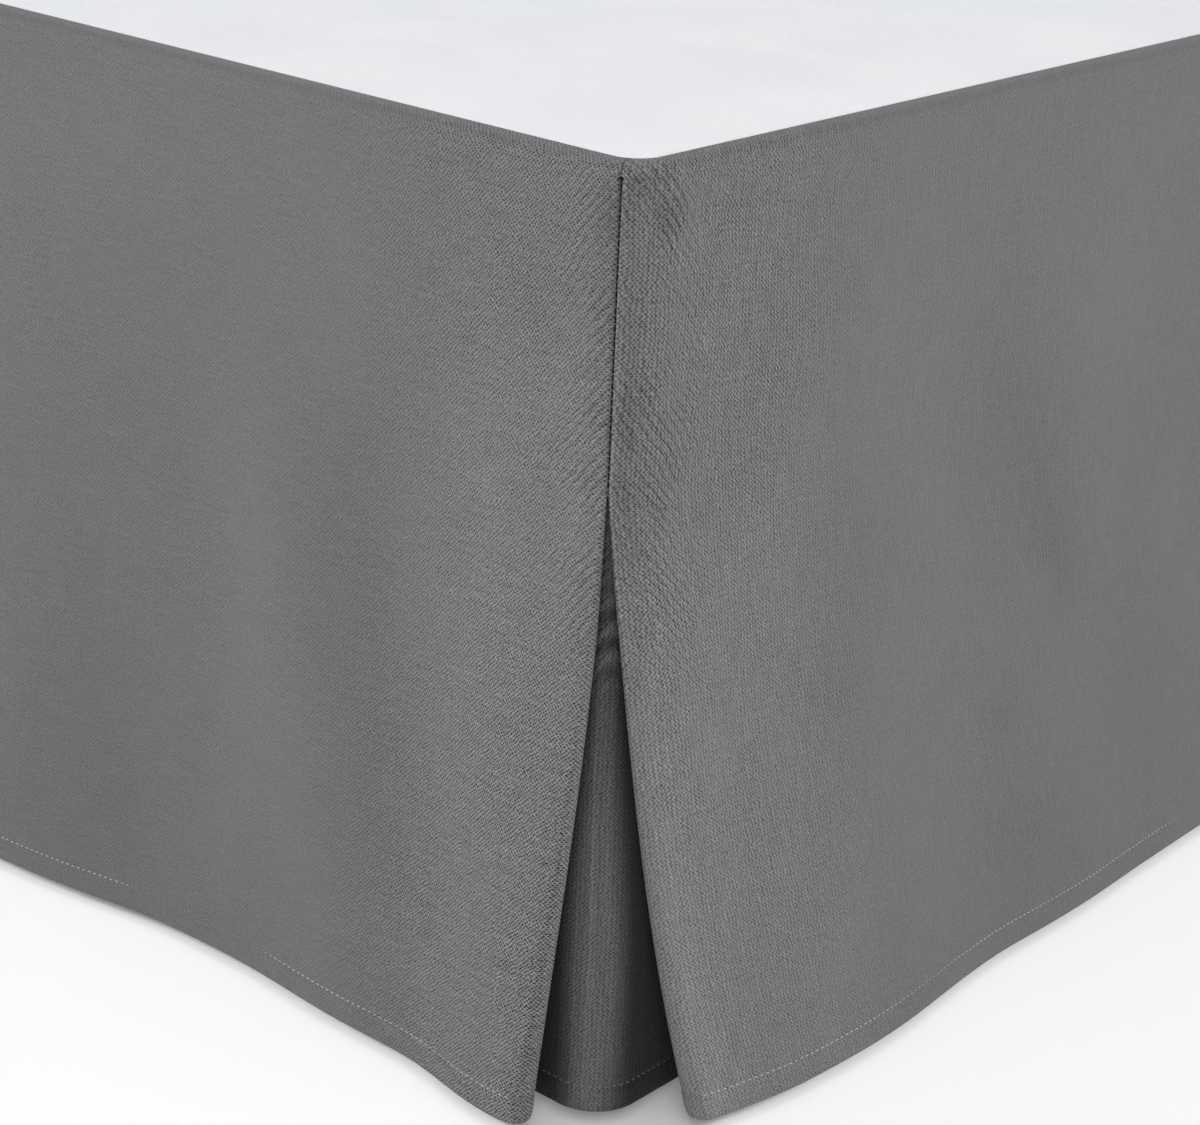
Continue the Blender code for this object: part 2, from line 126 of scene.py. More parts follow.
# Small hollow that the seam draws in the wrap of a side drop, below its top edge
PINCH = 0.0019
PINCH_BELOW = 0.0115
PINCH_REACH = 0.0120
PINCH_SHARE = 0.42
PINCH_SPREAD = 0.52

# Ripples across the underlay, above the middle of the split
RIPPLE = 0.0006
RIPPLE_PITCH = 0.0115
RIPPLE_CURVE = 110.0
RIPPLE_DEPTH = 0.184
RIPPLE_REACH = 0.030
RIPPLE_WIDTH = 0.034
INSERT_ROW_STEP = 0.0028
INSERT_COLUMN = 0.0019

# Deck: columns and rows of its sheet, its sunk edge and how far its wrinkles keep from it
DECK_STEP = 0.012
DECK_COLUMNS = 62
DECK_ROWS = 167
DECK_EDGE = (0.0010, 0.0030, 0.0060, 0.0110)
DECK_SINK = 0.0005
DECK_SINK_WIDTH = 0.003
DECK_CALM = 0.030

# Foundation: its rounded edges, the cloth set into its underside and its welts
BASE_CORNER = 0.020
BASE_TOP_EDGE = 0.002
BASE_LOW_EDGE = 0.010
DUST_INSET = 0.030
DUST_STEP = 0.002
DUST_MARGIN = 0.035
WELT_RADIUS = 0.0028
WELT_SUNK = 0.0012
WELT_STEPS = 8
WELT_BELOW_TOP = 0.014
WELT_ABOVE_LOW = 0.016

# Flat sizes to which the sheets are cut, and how far the foot corners' seams are from its middle
FOOT_SEAM = 0.765
FOOT_FLAT = (1.62, 0.400)
SIDE_FLAT = (2.09, 0.400)

# Grey cloth: repeat of its weave in metres, contrast and relief of its yarn, colours
WEAVE_REPEAT = 0.0018
WEAVE_FAR = 0.50
WEAVE_TONE = 0.52
WEAVE_RELIEF = 0.00050
SLUB_SCALE = 520.0
SLUB_SHARE = 0.75
FIBRE_SCALE = 820.0
FIBRE_SHARE = 2.6
CHECK_SHARE = 0.78
RIB_SHARE = 0.3
DRIFT_SCALE = 150.0
DRIFT_UP_SCALE = 120.0
DRIFT = 0.0028
DRIFT_UP = 0.0022
SLANT = 0.004
CLEAR_FROM = 0.050
CLEAR_TO = 0.155
BOLD_LOW = -0.34
BOLD_HIGH = -0.12
# Share of the painted light beside the corner that is left above its lower height
PAINTED_LIGHT_ABOVE_SHARE = 0.4
# How strongly the puckers' light and shade are painted into the grey
PUCKER_PAINTED_SHADE = 0.10
PUCKER_RELIEF = 1.5
PUCKER_PITCH = 0.0046
# The same grey cloth made darker for the underlay: painted shade of its place behind the drops
SHADED_UNDERLAY_GREY = (0.062, 0.062, 0.063)
GREY = (0.121, 0.121, 0.123)

# Painted shade and bump of the hollow beside the seam: its middle, reach and lean, in metres of cloth,
# then how dark the shade is and how strong the bump
PINCH_ASIDE = 0.013
PINCH_DOWN = 0.024
PINCH_HALF_WIDTH = 0.015
PINCH_HALF_DEPTH = 0.014
PINCH_LEAN = 0.25
PINCH_PAINTED_SHADE = 0.18
PINCH_RELIEF = 3.0

# Light that the pale floor gives by itself
FLOOR_GLOW = 0.15

# Soft fold: its centre, half width and out, the shares of the drop at which it starts and is
# full, what is left of it at the hem, and its lean as it goes down
Fold = namedtuple("Fold", "along half_width out top full left lean")

FOOT_RIGHT_FOLDS = (
    Fold(0.028, 0.055, 0.0060, 0.30, 0.90, 1.0, 0.014),
    Fold(0.105, 0.060, -0.0030, 0.45, 0.75, 0.4, -0.020),
    Fold(0.186, 0.062, 0.0045, 0.15, 0.45, 0.5, -0.035),
    Fold(0.207, 0.115, -0.0062, 0.10, 0.70, 1.0, -0.022),
    Fold(0.262, 0.055, -0.0018, 0.55, 0.90, 0.8, -0.012),
    Fold(0.350, 0.110, 0.0095, 0.08, 0.85, 1.0, 0.010),
    Fold(0.530, 0.105, -0.0045, 0.25, 0.80, 1.0, -0.020),
    Fold(0.690, 0.110, 0.0050, 0.30, 0.90, 0.8, 0.015),
)
FOOT_LEFT_FOLDS = (
    Fold(0.032, 0.060, 0.0060, 0.32, 0.90, 1.0, 0.012),
    Fold(0.165, 0.100, -0.0050, 0.15, 0.75, 1.0, 0.015),
    Fold(0.300, 0.110, 0.0080, 0.10, 0.80, 1.0, -0.025),
    Fold(0.480, 0.110, -0.0055, 0.30, 0.85, 0.9, 0.020),
    Fold(0.640, 0.090, 0.0035, 0.45, 0.90, 1.0, 0.010),
)
RIGHT_FOLDS = (
    Fold(0.010, 0.060, -0.0050, 0.35, 1.00, 1.0, 0.025),
    Fold(0.092, 0.105, 0.0060, 0.06, 0.55, 0.95, 0.008),
    Fold(0.120, 0.085, 0.0045, 0.50, 0.95, 1.0, 0.045),
    Fold(0.123, 0.090, -0.0060, 0.12, 0.55, 0.25, 0.267),
    Fold(0.270, 0.075, 0.0045, 0.04, 0.35, 0.30, 0.020),
    Fold(0.440, 0.120, -0.0050, 0.25, 0.75, 0.60, 0.030),
    Fold(0.640, 0.150, 0.0050, 0.15, 0.80, 0.9, -0.030),
    Fold(0.880, 0.150, -0.0060, 0.30, 0.85, 1.0, 0.025),
    Fold(1.130, 0.160, 0.0055, 0.10, 0.70, 0.8, 0.030),
    Fold(1.400, 0.150, -0.0060, 0.35, 0.90, 1.0, -0.035),
    Fold(1.650, 0.150, 0.0055, 0.15, 0.75, 0.9, 0.020),
    Fold(1.880, 0.130, -0.0045, 0.30, 0.90, 1.0, 0.010),
)
LEFT_FOLDS = (
    Fold(0.012, 0.060, -0.0045, 0.37, 1.00, 1.0, 0.022),
    Fold(0.090, 0.110, 0.0075, 0.08, 0.65, 1.0, 0.020),
    Fold(0.250, 0.100, -0.0060, 0.15, 0.70, 0.9, -0.030),
    Fold(0.420, 0.130, 0.0052, 0.10, 0.80, 1.0, 0.040),
    Fold(0.690, 0.150, -0.0060, 0.25, 0.85, 1.0, 0.025),
    Fold(0.930, 0.140, 0.0050, 0.15, 0.75, 0.8, -0.030),
    Fold(1.210, 0.160, -0.0052, 0.20, 0.90, 1.0, 0.035),
    Fold(1.480, 0.150, 0.0060, 0.15, 0.80, 0.9, -0.020),
    Fold(1.760, 0.160, -0.0048, 0.25, 0.85, 1.0, 0.030),
)

# Soft swell or hollow of small extent: centre, reach and out; lean shifts it as it goes down
Swell = namedtuple("Swell", "along depth half_along half_depth out lean")

FOOT_SWELLS = (
    Swell(0.108, 0.190, 0.072, 0.160, -0.0050, -0.06),
    Swell(0.250, 0.190, 0.050, 0.070, 0.0014, -0.30),
)
SIDE_SWELLS = (
    Swell(0.125, 0.070, 0.090, 0.048, 0.0032, 0.00),
    Swell(0.090, 0.195, 0.070, 0.120, -0.0055, -0.28),
    Swell(0.300, 0.205, 0.040, 0.060, 0.0018, 0.50),
    Swell(0.300, 0.335, 0.060, 0.040, 0.0016, 0.30),
)

# Small creases that only the visible cloth has
FOOT_CREASES = (
    Swell(0.060, 0.128, 0.040, 0.022, 0.0012, 0.30),
    Swell(0.150, 0.105, 0.050, 0.016, 0.0008, 0.80),
    Swell(0.130, 0.090, 0.050, 0.035, 0.0010, 0.30),
    Swell(0.420, 0.110, 0.060, 0.030, -0.0010, 0.00),
    Swell(0.330, 0.290, 0.030, 0.060, 0.0010, 0.20),
    Swell(0.200, 0.330, 0.025, 0.050, 0.0010, 0.10),
    Swell(0.112, 0.235, 0.042, 0.140, -0.0014, -0.05),
    Swell(0.172, 0.235, 0.042, 0.140, 0.0014, -0.05),
)
SIDE_CREASES = (
    Swell(0.036, 0.016, 0.026, 0.014, -0.0030, 0.90),
    Swell(0.070, 0.118, 0.055, 0.020, 0.0014, -0.60),
    Swell(0.020, 0.045, 0.020, 0.022, 0.0010, 0.00),
    Swell(0.226, 0.262, 0.035, 0.028, -0.0016, 0.00),
    Swell(0.268, 0.200, 0.016, 0.050, -0.0012, 0.55),
    Swell(0.110, 0.310, 0.030, 0.050, 0.0014, -0.10),
    Swell(0.390, 0.200, 0.030, 0.040, -0.0014, 0.10),
    Swell(0.330, 0.120, 0.050, 0.016, 0.0008, 1.20),
)

# Panel: folds, swells, flare at the hem and its power, wrap round the corner, turn of its edge
# at the hem, place of its nose there, swing of the underlay behind it, depth of its pinch
Panel = namedtuple("Panel", "folds swells flare power wrap hem_turn nose back pinch")

QUARTER = math.pi / 4
SEAM_ANGLE = SEAM_OFFSET / CORNER_RADIUS
FOOT_WRAP = QUARTER - SEAM_ANGLE
SIDE_WRAP = QUARTER + SEAM_ANGLE
FOOT_HEM_TURN = math.radians(12)
SIDE_HEM_TURN = math.radians(14)


def mirrored(folds):
    """Folds of the foot drop, measured from its other corner."""
    return tuple(fold._replace(along=SKIRT_WIDTH - fold.along, lean=-fold.lean) for fold in folds)


FOOT_RIGHT = Panel(
    folds=FOOT_RIGHT_FOLDS + mirrored(FOOT_LEFT_FOLDS),
    swells=FOOT_SWELLS + FOOT_CREASES,
    flare=0.0115,
    power=1.5,
    wrap=FOOT_WRAP,
    hem_turn=FOOT_HEM_TURN,
    nose=0.0245,
    back=0.0070,
    pinch=0.0,
)
FOOT_LEFT = FOOT_RIGHT._replace(
    folds=FOOT_LEFT_FOLDS + mirrored(FOOT_RIGHT_FOLDS),
    swells=(),
    nose=0.0255,
)
RIGHT_SIDE = Panel(
    folds=RIGHT_FOLDS,
    swells=SIDE_SWELLS + SIDE_CREASES,
    flare=0.0275,
    power=2.0,
    wrap=SIDE_WRAP,
    hem_turn=SIDE_HEM_TURN,
    nose=0.036,
    back=0.0040,
    pinch=PINCH,
)
LEFT_SIDE = RIGHT_SIDE._replace(folds=LEFT_FOLDS, swells=(), nose=0.035, back=0.0060)


# Shape of the hanging cloth


def mix(low, high, share):
    """The value at a share of the way between two others."""
    return low + (high - low) * share


def ease(share):
    """A share, held between 0 and 1, with a soft start and end."""
    share = min(max(share, 0.0), 1.0)
    return share * share * (3 - 2 * share)


def opening(down):
    """How far the split has opened: 0 at its top, 1 at the hem."""
    return max(0.0, (down - SPLIT_SHARE) / (1 - SPLIT_SHARE))


def corner_out(down):
    """How far the sewn corner stands outside its top edge."""
    return CORNER_FLARE * down ** FLARE_POWER


def hang_share(height):
    """The share of the drop that hangs above a height."""
    return min(max((HANG_TOP_Z - height) / (HANG_TOP_Z - FLOOR_GAP), 0.0), 1.0)


def fold_out(fold, along, down):
    """How far one soft fold moves the cloth."""
    reach = abs(along - fold.along - fold.lean * down) / fold.half_width
    if reach >= 1:
        return 0.0
    grown = ease((down - fold.top) / (fold.full - fold.top))
    if down > fold.full:
        grown = mix(1.0, fold.left, ease((down - fold.full) / (1 - fold.full)))
    return fold.out * grown * (0.5 + 0.5 * math.cos(math.pi * reach))


def bell(reach):
    """1 in the middle of a swell and 0 at its edge and beyond."""
    return 0.5 + 0.5 * math.cos(math.pi * min(abs(reach), 1.0))


def swell_out(swell, along, down):
    """How far one swell moves the cloth."""
    below = down * (HANG_TOP_Z - FLOOR_GAP) - swell.depth
    across = along - swell.along - swell.lean * below
    return swell.out * bell(across / swell.half_along) * bell(below / swell.half_depth)


def hung_out(panel, along, down):
    """How far the cloth hangs outside its top edge, without its swells."""
    free = panel.flare * down ** panel.power
    free += sum(fold_out(fold, along, down) for fold in panel.folds)
    near = 1 - ease((along - CORNER_RADIUS - HOLD_START) / CORNER_HOLD)
    held = near * (1 - ease(HOLD_PACE * opening(down)))
    return mix(free, corner_out(down), held)


def panel_out(panel, along, down):
    """How far the cloth stands outside its top edge."""
    clear = ease((along - straight_end(panel, down)) / SWELL_CLEAR)
    swelling = clear * sum(swell_out(swell, along, down) for swell in panel.swells)
    return hung_out(panel, along, down) + swelling


def wrap_length(panel):
    """Length of cloth from the straight of a panel to its fold-back."""
    nose = FOLD_RADIUS_TOP + (CLOTH + SEAT_GAP) / 2
    return CORNER_RADIUS * (panel.wrap - nose / (CORNER_RADIUS - FOLD_RADIUS_TOP))


def straight_end(panel, down):
    """How far from the corner the straight run of a panel ends."""
    at_top = CORNER_RADIUS - corner_out(down)
    at_hem = panel.nose + FOLD_RADIUS_HEM + wrap_length(panel)
    return mix(at_top, at_hem, opening(down))


def arc_places(start, heading, radius, angle, steps):
    """Places along an arc, without its start; a positive angle turns towards the bed."""
    bend = math.copysign(radius, angle)
    places = []
    for step in range(1, steps + 1):
        end = heading + angle * step / steps
        along = start[0] + bend * (math.sin(heading) - math.sin(end))
        places.append((along, start[1] - bend * (math.cos(heading) - math.cos(end))))
    return places


def eased_places(start, heading, end, steps):
    """Places on a smooth curve that leaves along a heading and ends along the panel."""
    reach = math.dist(start, end) / 3
    first = (start[0] - reach * math.cos(heading), start[1] - reach * math.sin(heading))
    second = (end[0] - reach, end[1])
    places = []
    for step in range(1, steps + 1):
        t = step / steps
        weights = ((1 - t) ** 3, 3 * t * (1 - t) ** 2, 3 * t * t * (1 - t), t ** 3)
        knots = (start, first, second, end)
        places.append(tuple(sum(w * k[axis] for w, k in zip(weights, knots)) for axis in (0, 1)))
    return places


def fold_radius(down):
    """Radius of the fold at the edge of a split."""
    return mix(FOLD_RADIUS_TOP, FOLD_RADIUS_HEM, opening(down))


def insert_out(panel, down):
    """How far the side of an underlay behind a panel stands outside the top edge."""
    layers = 2 * fold_radius(down) + CLOTH + SEAT_GAP
    back = INSERT_BACK * ease(INSERT_BACK_PACE * opening(down))
    below = ease((down - INSERT_FREE_SHARE) / (1 - INSERT_FREE_SHARE))
    return corner_out(down) - layers - back - panel.back * below


def edge_places(panel, down):
    """Plan of the edge of a panel: the wrap, the fold and the return behind it."""
    along = straight_end(panel, down)
    start = (along, panel_out(panel, along, down))
    ahead = hung_out(panel, along + HOLD_START, down)
    heading = math.atan2(ahead - start[1], HOLD_START)
    sewn_turn = wrap_length(panel) / CORNER_RADIUS
    turn = mix(sewn_turn, panel.hem_turn, opening(down)) - heading
    radius = wrap_length(panel) / turn
    fold = fold_radius(down)
    wrap = arc_places(start, heading, radius, turn, CORNER_STEPS)
    nose = arc_places(wrap[-1], heading + turn, fold, math.pi, FOLD_STEPS)
    back = heading + turn + math.pi
    inner = arc_places(nose[-1], back, radius - 2 * fold, -turn, CORNER_STEPS)
    stop = (along + RETURN_LENGTH, insert_out(panel, down) + CLOTH + SEAT_GAP)
    rest = eased_places(inner[-1], heading + math.pi, stop, RETURN_STEPS)
    return wrap + nose + inner + rest


def top_wrap(panel, inset):
    """Plan of the edge of a panel where it rolls over the top, at an inset."""
    angle = panel.wrap - (SEAT_GAP / 2) / (CORNER_RADIUS - inset)
    start = (CORNER_RADIUS, -inset)
    return arc_places(start, 0.0, CORNER_RADIUS - inset, angle, CORNER_STEPS)


def run_shares(length):
    """Shares of a straight run where its columns lie, closer together near a corner."""
    places = [0.0]
    step = FINE_COLUMN
    while places[-1] + step < length:
        places.append(places[-1] + step)
        step = min(step * COLUMN_GROWTH, WIDE_COLUMN)
    return [place / places[-1] for place in places]


# Rows of the cloth: where they lie and how far they are set towards the bed

Row = namedtuple("Row", "height inset tilt inward cloth")
HemRow = namedtuple("HemRow", "above inward")

TOP_SEAM = (HemRow(0.0, 0.0005), HemRow(0.0010, 0.0001), HemRow(0.0030, 0.0))
TOP_ROLL = (
    HemRow(0.004, 0.0),
    HemRow(0.008, 0.0003),
    HemRow(0.012, 0.0005),
    HemRow(0.017, 0.0003),
    HemRow(0.024, 0.0),
)
HEM_BAND = (
    HemRow(0.0148, -0.00005),
    HemRow(0.0132, -0.00010),
    HemRow(0.0120, 0.00005),
    HemRow(HEM_DEPTH, HEM_RIDGE),
    HemRow(0.0100, 0.00000),
    HemRow(0.0086, -0.00030),
    HemRow(0.0060, -0.00035),
    HemRow(0.0034, -0.00030),
    HemRow(0.0018, -0.00015),
)
TURNED_UP = (0.0030, 0.0060, 0.0090, 0.0120)
ROLL_SHARE = 0.08


def top_rows():
    """Rows of the lip and of the roll over the edge, with a soft seam beside the deck."""
    rows = []
    for seam in TOP_SEAM:
        height = SHEET_TOP_Z - seam.inward
        rows.append(Row(height, LIP_INSET - seam.above, 0.0, 0.0, seam.above))
    for step in range(ROLL_STEPS):
        angle = math.pi / 2 * step / ROLL_STEPS
        inset = ROLL_RADIUS * (1 - math.sin(angle))
        height = HANG_TOP_Z + ROLL_RADIUS * math.cos(angle)
        rows.append(Row(height, inset, angle, 0.0, LIP + ROLL_RADIUS * angle))
    return rows


def hanging_rows(top_z, roll=True, pace=ROW_STEP):
    """Rows from the top of the hang to the hem and up behind it."""
    quarter = math.pi / 2
    start = LIP + ROLL_RADIUS * quarter
    rows = []
    low = FLOOR_GAP + SHEET / 2
    depths = [row.above for row in TOP_ROLL] if roll else []
    inwards = [row.inward for row in TOP_ROLL] if roll else []
    rows.append(Row(top_z, None, quarter, 0.0, start + HANG_TOP_Z - top_z))
    for depth, inward in zip(depths, inwards):
        rows.append(Row(top_z - depth, None, quarter, inward, start + depth))
    free_top = rows[-1].height
    free_low = low + HEM_TOP
    steps = round((free_top - free_low) / pace)
    for step in range(1, steps + 1):
        height = mix(free_top, free_low, step / steps)
        rows.append(Row(height, None, quarter, 0.0, start + HANG_TOP_Z - height))
    for row in HEM_BAND:
        height = low + row.above
        rows.append(Row(height, None, quarter, row.inward, start + HANG_TOP_Z - height))
    hem = start + HANG_TOP_Z - low
    for step in range(HEM_BEND_STEPS + 1):
        angle = math.pi * step / HEM_BEND_STEPS
        height = low + HEM_BEND * (1 - math.sin(angle))
        inward = HEM_BEND * (1 - math.cos(angle))
        rows.append(Row(height, None, quarter, inward, hem + HEM_BEND * angle))
    for above in TURNED_UP:
        rows.append(Row(low + above, None, quarter, 2 * HEM_BEND, hem + above))
    return rows


def set_inward(places, distances):
    """Places of a plan line moved to its bed side, which is the inner side of its fold."""
    moved = []
    for index, (place, distance) in enumerate(zip(places, distances)):
        before = places[max(index - 1, 0)]
        after = places[min(index + 1, len(places) - 1)]
        along, out = after[0] - before[0], after[1] - before[1]
        share = distance / math.hypot(along, out)
        moved.append((place[0] - out * share, place[1] + along * share))
    return moved


# The turned-back end of a side drop at the head: distance from the end and inward set
END_HEM = (
    (0.0120, 2 * END_BEND),
    (0.0080, 2 * END_BEND),
    (0.0040, 2 * END_BEND),
    (END_BEND, 2 * END_BEND),
    (0.30 * END_BEND, 1.71 * END_BEND),
    (0.0, END_BEND),
    (0.30 * END_BEND, 0.29 * END_BEND),
)


def run_line(panel, near, far_end, shares, down):
    """Straight run of a row, from its far end towards its corner."""
    places = [mix(near, far_end, share) for share in reversed(shares)]
    return [(along, panel_out(panel, along, down)) for along in places]


def plan_line(panel, far_end, shares, row):
    """One row of a panel in plan, from its far end to its corner and behind the fold."""
    if row.inset is not None:
        run = [(mix(CORNER_RADIUS, far_end, share), -row.inset) for share in reversed(shares)]
        return run + top_wrap(panel, row.inset) + [None] * HIDDEN_COLUMNS
    down = hang_share(row.height)
    run = run_line(panel, straight_end(panel, down), far_end, shares, down)
    plan = run + edge_places(panel, down)
    if down > ROLL_SHARE:
        return set_inward(plan, [row.inward] * len(plan))
    pinched = panel.pinch * bell((HANG_TOP_Z - row.height - PINCH_BELOW) / PINCH_REACH)
    distances = []
    for number in range(len(plan)):
        share = (number - len(run) + 1) / CORNER_STEPS
        drawn = pinched * bell((share - PINCH_SHARE) / PINCH_SPREAD)
        distances.append(row.inward * (1 - ease(share)) + drawn)
    return set_inward(plan, distances)


def head_end(panel, far_end, row):
    """The turned-back end of a row at the head of the bed, as places with heights."""
    places = []
    for before, inward in END_HEM:
        along = far_end - before
        if row.inset is None:
            down = hang_share(row.height)
            out = panel_out(panel, along, down) - inward - row.inward
            places.append((along, out, row.height))
        else:
            inset = row.inset + inward * math.sin(row.tilt)
            places.append((along, -inset, row.height - inward * math.cos(row.tilt)))
    return places


def drop_lines(panel, far_end, turned_end):
    """Every row of one end of a drop as places of along, out and height."""
    shares = run_shares(far_end - CORNER_RADIUS)
    rows = top_rows() + hanging_rows(HANG_TOP_Z)
    lines = []
    for row in rows:
        plan = plan_line(panel, far_end, shares, row)
        line = [place and (*place, row.height) for place in plan]
        if turned_end:
            line = head_end(panel, far_end, row) + line
        lines.append(line)
    return rows, lines


def side_lines(panel, hand):
    """A side drop in the model's frame; hand is 1 at the right and -1 at the left."""
    rows, lines = drop_lines(panel, SKIRT_LENGTH, True)
    edge = hand * SKIRT_WIDTH / 2
    return rows, [[p and (edge + hand * p[1], FOOT_Y + p[0], p[2]) for p in line] for line in lines]


def foot_lines():
    """The foot drop in the model's frame, from behind its left split to its right one."""
    rows, lefts = drop_lines(FOOT_LEFT, SKIRT_WIDTH / 2, False)
    rights = drop_lines(FOOT_RIGHT, SKIRT_WIDTH / 2, False)[1]
    half = SKIRT_WIDTH / 2
    lines = []
    for left, right in zip(lefts, rights):
        line = [p and (p[0] - half, FOOT_Y - p[1], p[2]) for p in reversed(left)]
        line += [p and (half - p[0], FOOT_Y - p[1], p[2]) for p in right[1:]]
        lines.append(line)
    return rows, lines


def insert_plan(foot, side, down):
    """Plan of an underlay round its corner, from its foot end to its side end."""
    at_top = CORNER_RADIUS - 2 * FOLD_RADIUS_TOP - CLOTH - SEAT_GAP
    radius = mix(at_top, INSERT_RADIUS_HEM, ease(opening(down)))
    foot_out, side_out = insert_out(foot, down), insert_out(side, down)
    centre = (radius - side_out, radius - foot_out)
    reach = RETURN_LENGTH - INSERT_SIDE_MARGIN
    foot_end = straight_end(foot, down) + reach
    side_end = straight_end(side, down) + reach
    line = []
    for step in range(INSERT_SIDE_STEPS):
        line.append((mix(foot_end, centre[0], step / INSERT_SIDE_STEPS), -foot_out))
    for step in range(INSERT_CORNER_STEPS + 1):
        angle = math.pi / 2 * step / INSERT_CORNER_STEPS
        line.append((centre[0] - radius * math.sin(angle), centre[1] - radius * math.cos(angle)))
    for step in range(INSERT_SIDE_STEPS):
        share = (step + 1) / INSERT_SIDE_STEPS
        line.append((-side_out, mix(centre[1], side_end, share)))
    return line


def rippled(column, columns, row):
    """How far the ripples move one place of an underlay outward."""
    aside = (column - columns // 2) * INSERT_COLUMN
    wave = math.sin((aside * aside * RIPPLE_CURVE - row.cloth) * 2 * math.pi / RIPPLE_PITCH)
    there = bell((row.cloth - RIPPLE_DEPTH) / RIPPLE_REACH) * bell(aside / RIPPLE_WIDTH)
    return RIPPLE * wave * there


def insert_lines(foot, side, hand):
    """An underlay in the model's frame; hand is 1 at the right and -1 at the left."""
    top = mix(HANG_TOP_Z, FLOOR_GAP, INSERT_TOP_SHARE)
    rows = hanging_rows(top, roll=False, pace=INSERT_ROW_STEP)
    lines = []
    for row in rows:
        plan = insert_plan(foot, side, hang_share(row.height))
        distances = [rippled(column, len(plan), row) - row.inward for column in range(len(plan))]
        plan = set_inward(plan, distances)
        edge = hand * SKIRT_WIDTH / 2
        lines.append([(edge - hand * a, FOOT_Y + i, row.height) for a, i in plan])
    return rows, lines


# Cloth pieces


def cloth_piece(name, rows, lines, finish, origin):
    """A sheet: a grid moved to its places, with a map in metres of cloth.

    The map runs across from the column of origin and down from the first row.
    """
    sheet = bmesh.new()
    columns = len(lines[0])
    bmesh.ops.create_grid(sheet, x_segments=columns - 1, y_segments=len(lines) - 1, size=1.0)
    cloth_map = {}
    for number, line in enumerate(lines):
        runs = [0.0]
        for before, after in zip(line, line[1:]):
            step = math.dist(before, after) if before and after else 0.0
            runs.append(runs[-1] + step)
        for column in range(columns):
            cloth_map[number * columns + column] = (runs[column] - runs[origin], -rows[number].cloth)
    cut_away = []
    for index, vertex in enumerate(list(sheet.verts)):
        place = lines[index // columns][index % columns]
        if place is None:
            cut_away.append(vertex)
        else:
            vertex.co = place
    sheet.verts.index_update()
    layer = sheet.loops.layers.uv.new("cloth")
    for face in sheet.faces:
        for loop in face.loops:
            loop[layer].uv = cloth_map[loop.vert.index]
    bmesh.ops.delete(sheet, geom=cut_away, context="VERTS")
    return shown_piece(name, sheet, finish)


def shown_piece(name, shape, finish, sharp=60):
    """Link the piece that a bmesh makes, with its finish."""
    mesh = bpy.data.meshes.new(name)
    shape.to_mesh(mesh)
    shape.free()
    mesh.shade_smooth()
    mesh.set_sharp_from_angle(angle=math.radians(sharp))
    mesh.materials.append(finish)
    piece = bpy.data.objects.new(name, mesh)
    bpy.context.scene.collection.objects.link(piece)
    return piece


def thicken(piece, thickness=SHEET):
    """Give a sheet its thickness, half to each side."""
    solidify = piece.modifiers.new("cloth", "SOLIDIFY")
    solidify.thickness = thickness
    solidify.offset = 0.0
    solidify.use_even_offset = False
    solidify.use_rim = True


# Stitches

Stitch = namedtuple("Stitch", "place along outward")


def stitch_form(length, width):
    """One visible stitch: a short thread with rounded ends, along X."""
    form = bmesh.new()
    bmesh.ops.create_icosphere(form, subdivisions=1, radius=0.5)
    for vertex in form.verts:
        vertex.co.x *= length
        vertex.co.y *= width
        vertex.co.z *= width
    mesh = bpy.data.meshes.new("stitch_form")
    form.to_mesh(mesh)
    form.free()
    return mesh


def stitch_piece(name, stitches, thread, length=STITCH_LENGTH, width=STITCH_WIDTH):
    """A row of stitches as one piece."""
    form = stitch_form(length, width)
    row = bmesh.new()
    for stitch in stitches:
        before = len(row.verts)
        row.from_mesh(form)
        row.verts.ensure_lookup_table()
        across = stitch.outward.cross(stitch.along).normalized()
        turn = Matrix((stitch.along, across, stitch.outward)).transposed().to_4x4()
        turn.translation = stitch.place
        for vertex in row.verts[before:]:
            vertex.co = turn @ vertex.co
    bpy.data.meshes.remove(form)
    return shown_piece(name, row, thread)


def stitched_line(places, outward_hint, pitch=STITCH_PITCH, seed=0.0):
    """Stitches at an even pitch along a line on the cloth, lying deeper here and there."""
    stitches = []
    wanted = pitch / 2
    gone = 0.0
    for before, after in zip(places, places[1:]):
        before, after = Vector(before), Vector(after)
        step = (after - before).length
        along = (after - before).normalized()
        side = along.cross(Vector((0, 0, 1))).normalized()
        if side.dot(outward_hint(before)) < 0:
            side.negate()
        while wanted <= gone + step:
            share = (wanted - gone) / step
            depth = noise.noise(Vector((wanted * STITCH_SWING, seed, 0)))
            lying = ease(0.5 + STITCH_CONTRAST * depth)
            proud = SHEET / 2 + STITCH_WIDTH * mix(STITCH_SUNK, STITCH_PROUD, lying)
            place = before.lerp(after, share) + side * proud
            stitches.append(Stitch(place, along, side))
            wanted += pitch
        gone += step
    return stitches


def hem_row_number(rows):
    """The row on which a hem is sewn."""
    low = FLOOR_GAP + SHEET / 2
    sewn = low + HEM_DEPTH

    def away(number):
        """How far a row is from the sewn height, on the outer layer."""
        return abs(rows[number].height - sewn) + abs(rows[number].inward - HEM_RIDGE)

    return min(range(len(rows)), key=away)


def centre_of_bed(place):
    """Direction from the middle of the bed to a place, in plan."""
    return Vector((place[0] / SKIRT_WIDTH, place[1] / SKIRT_LENGTH, 0))


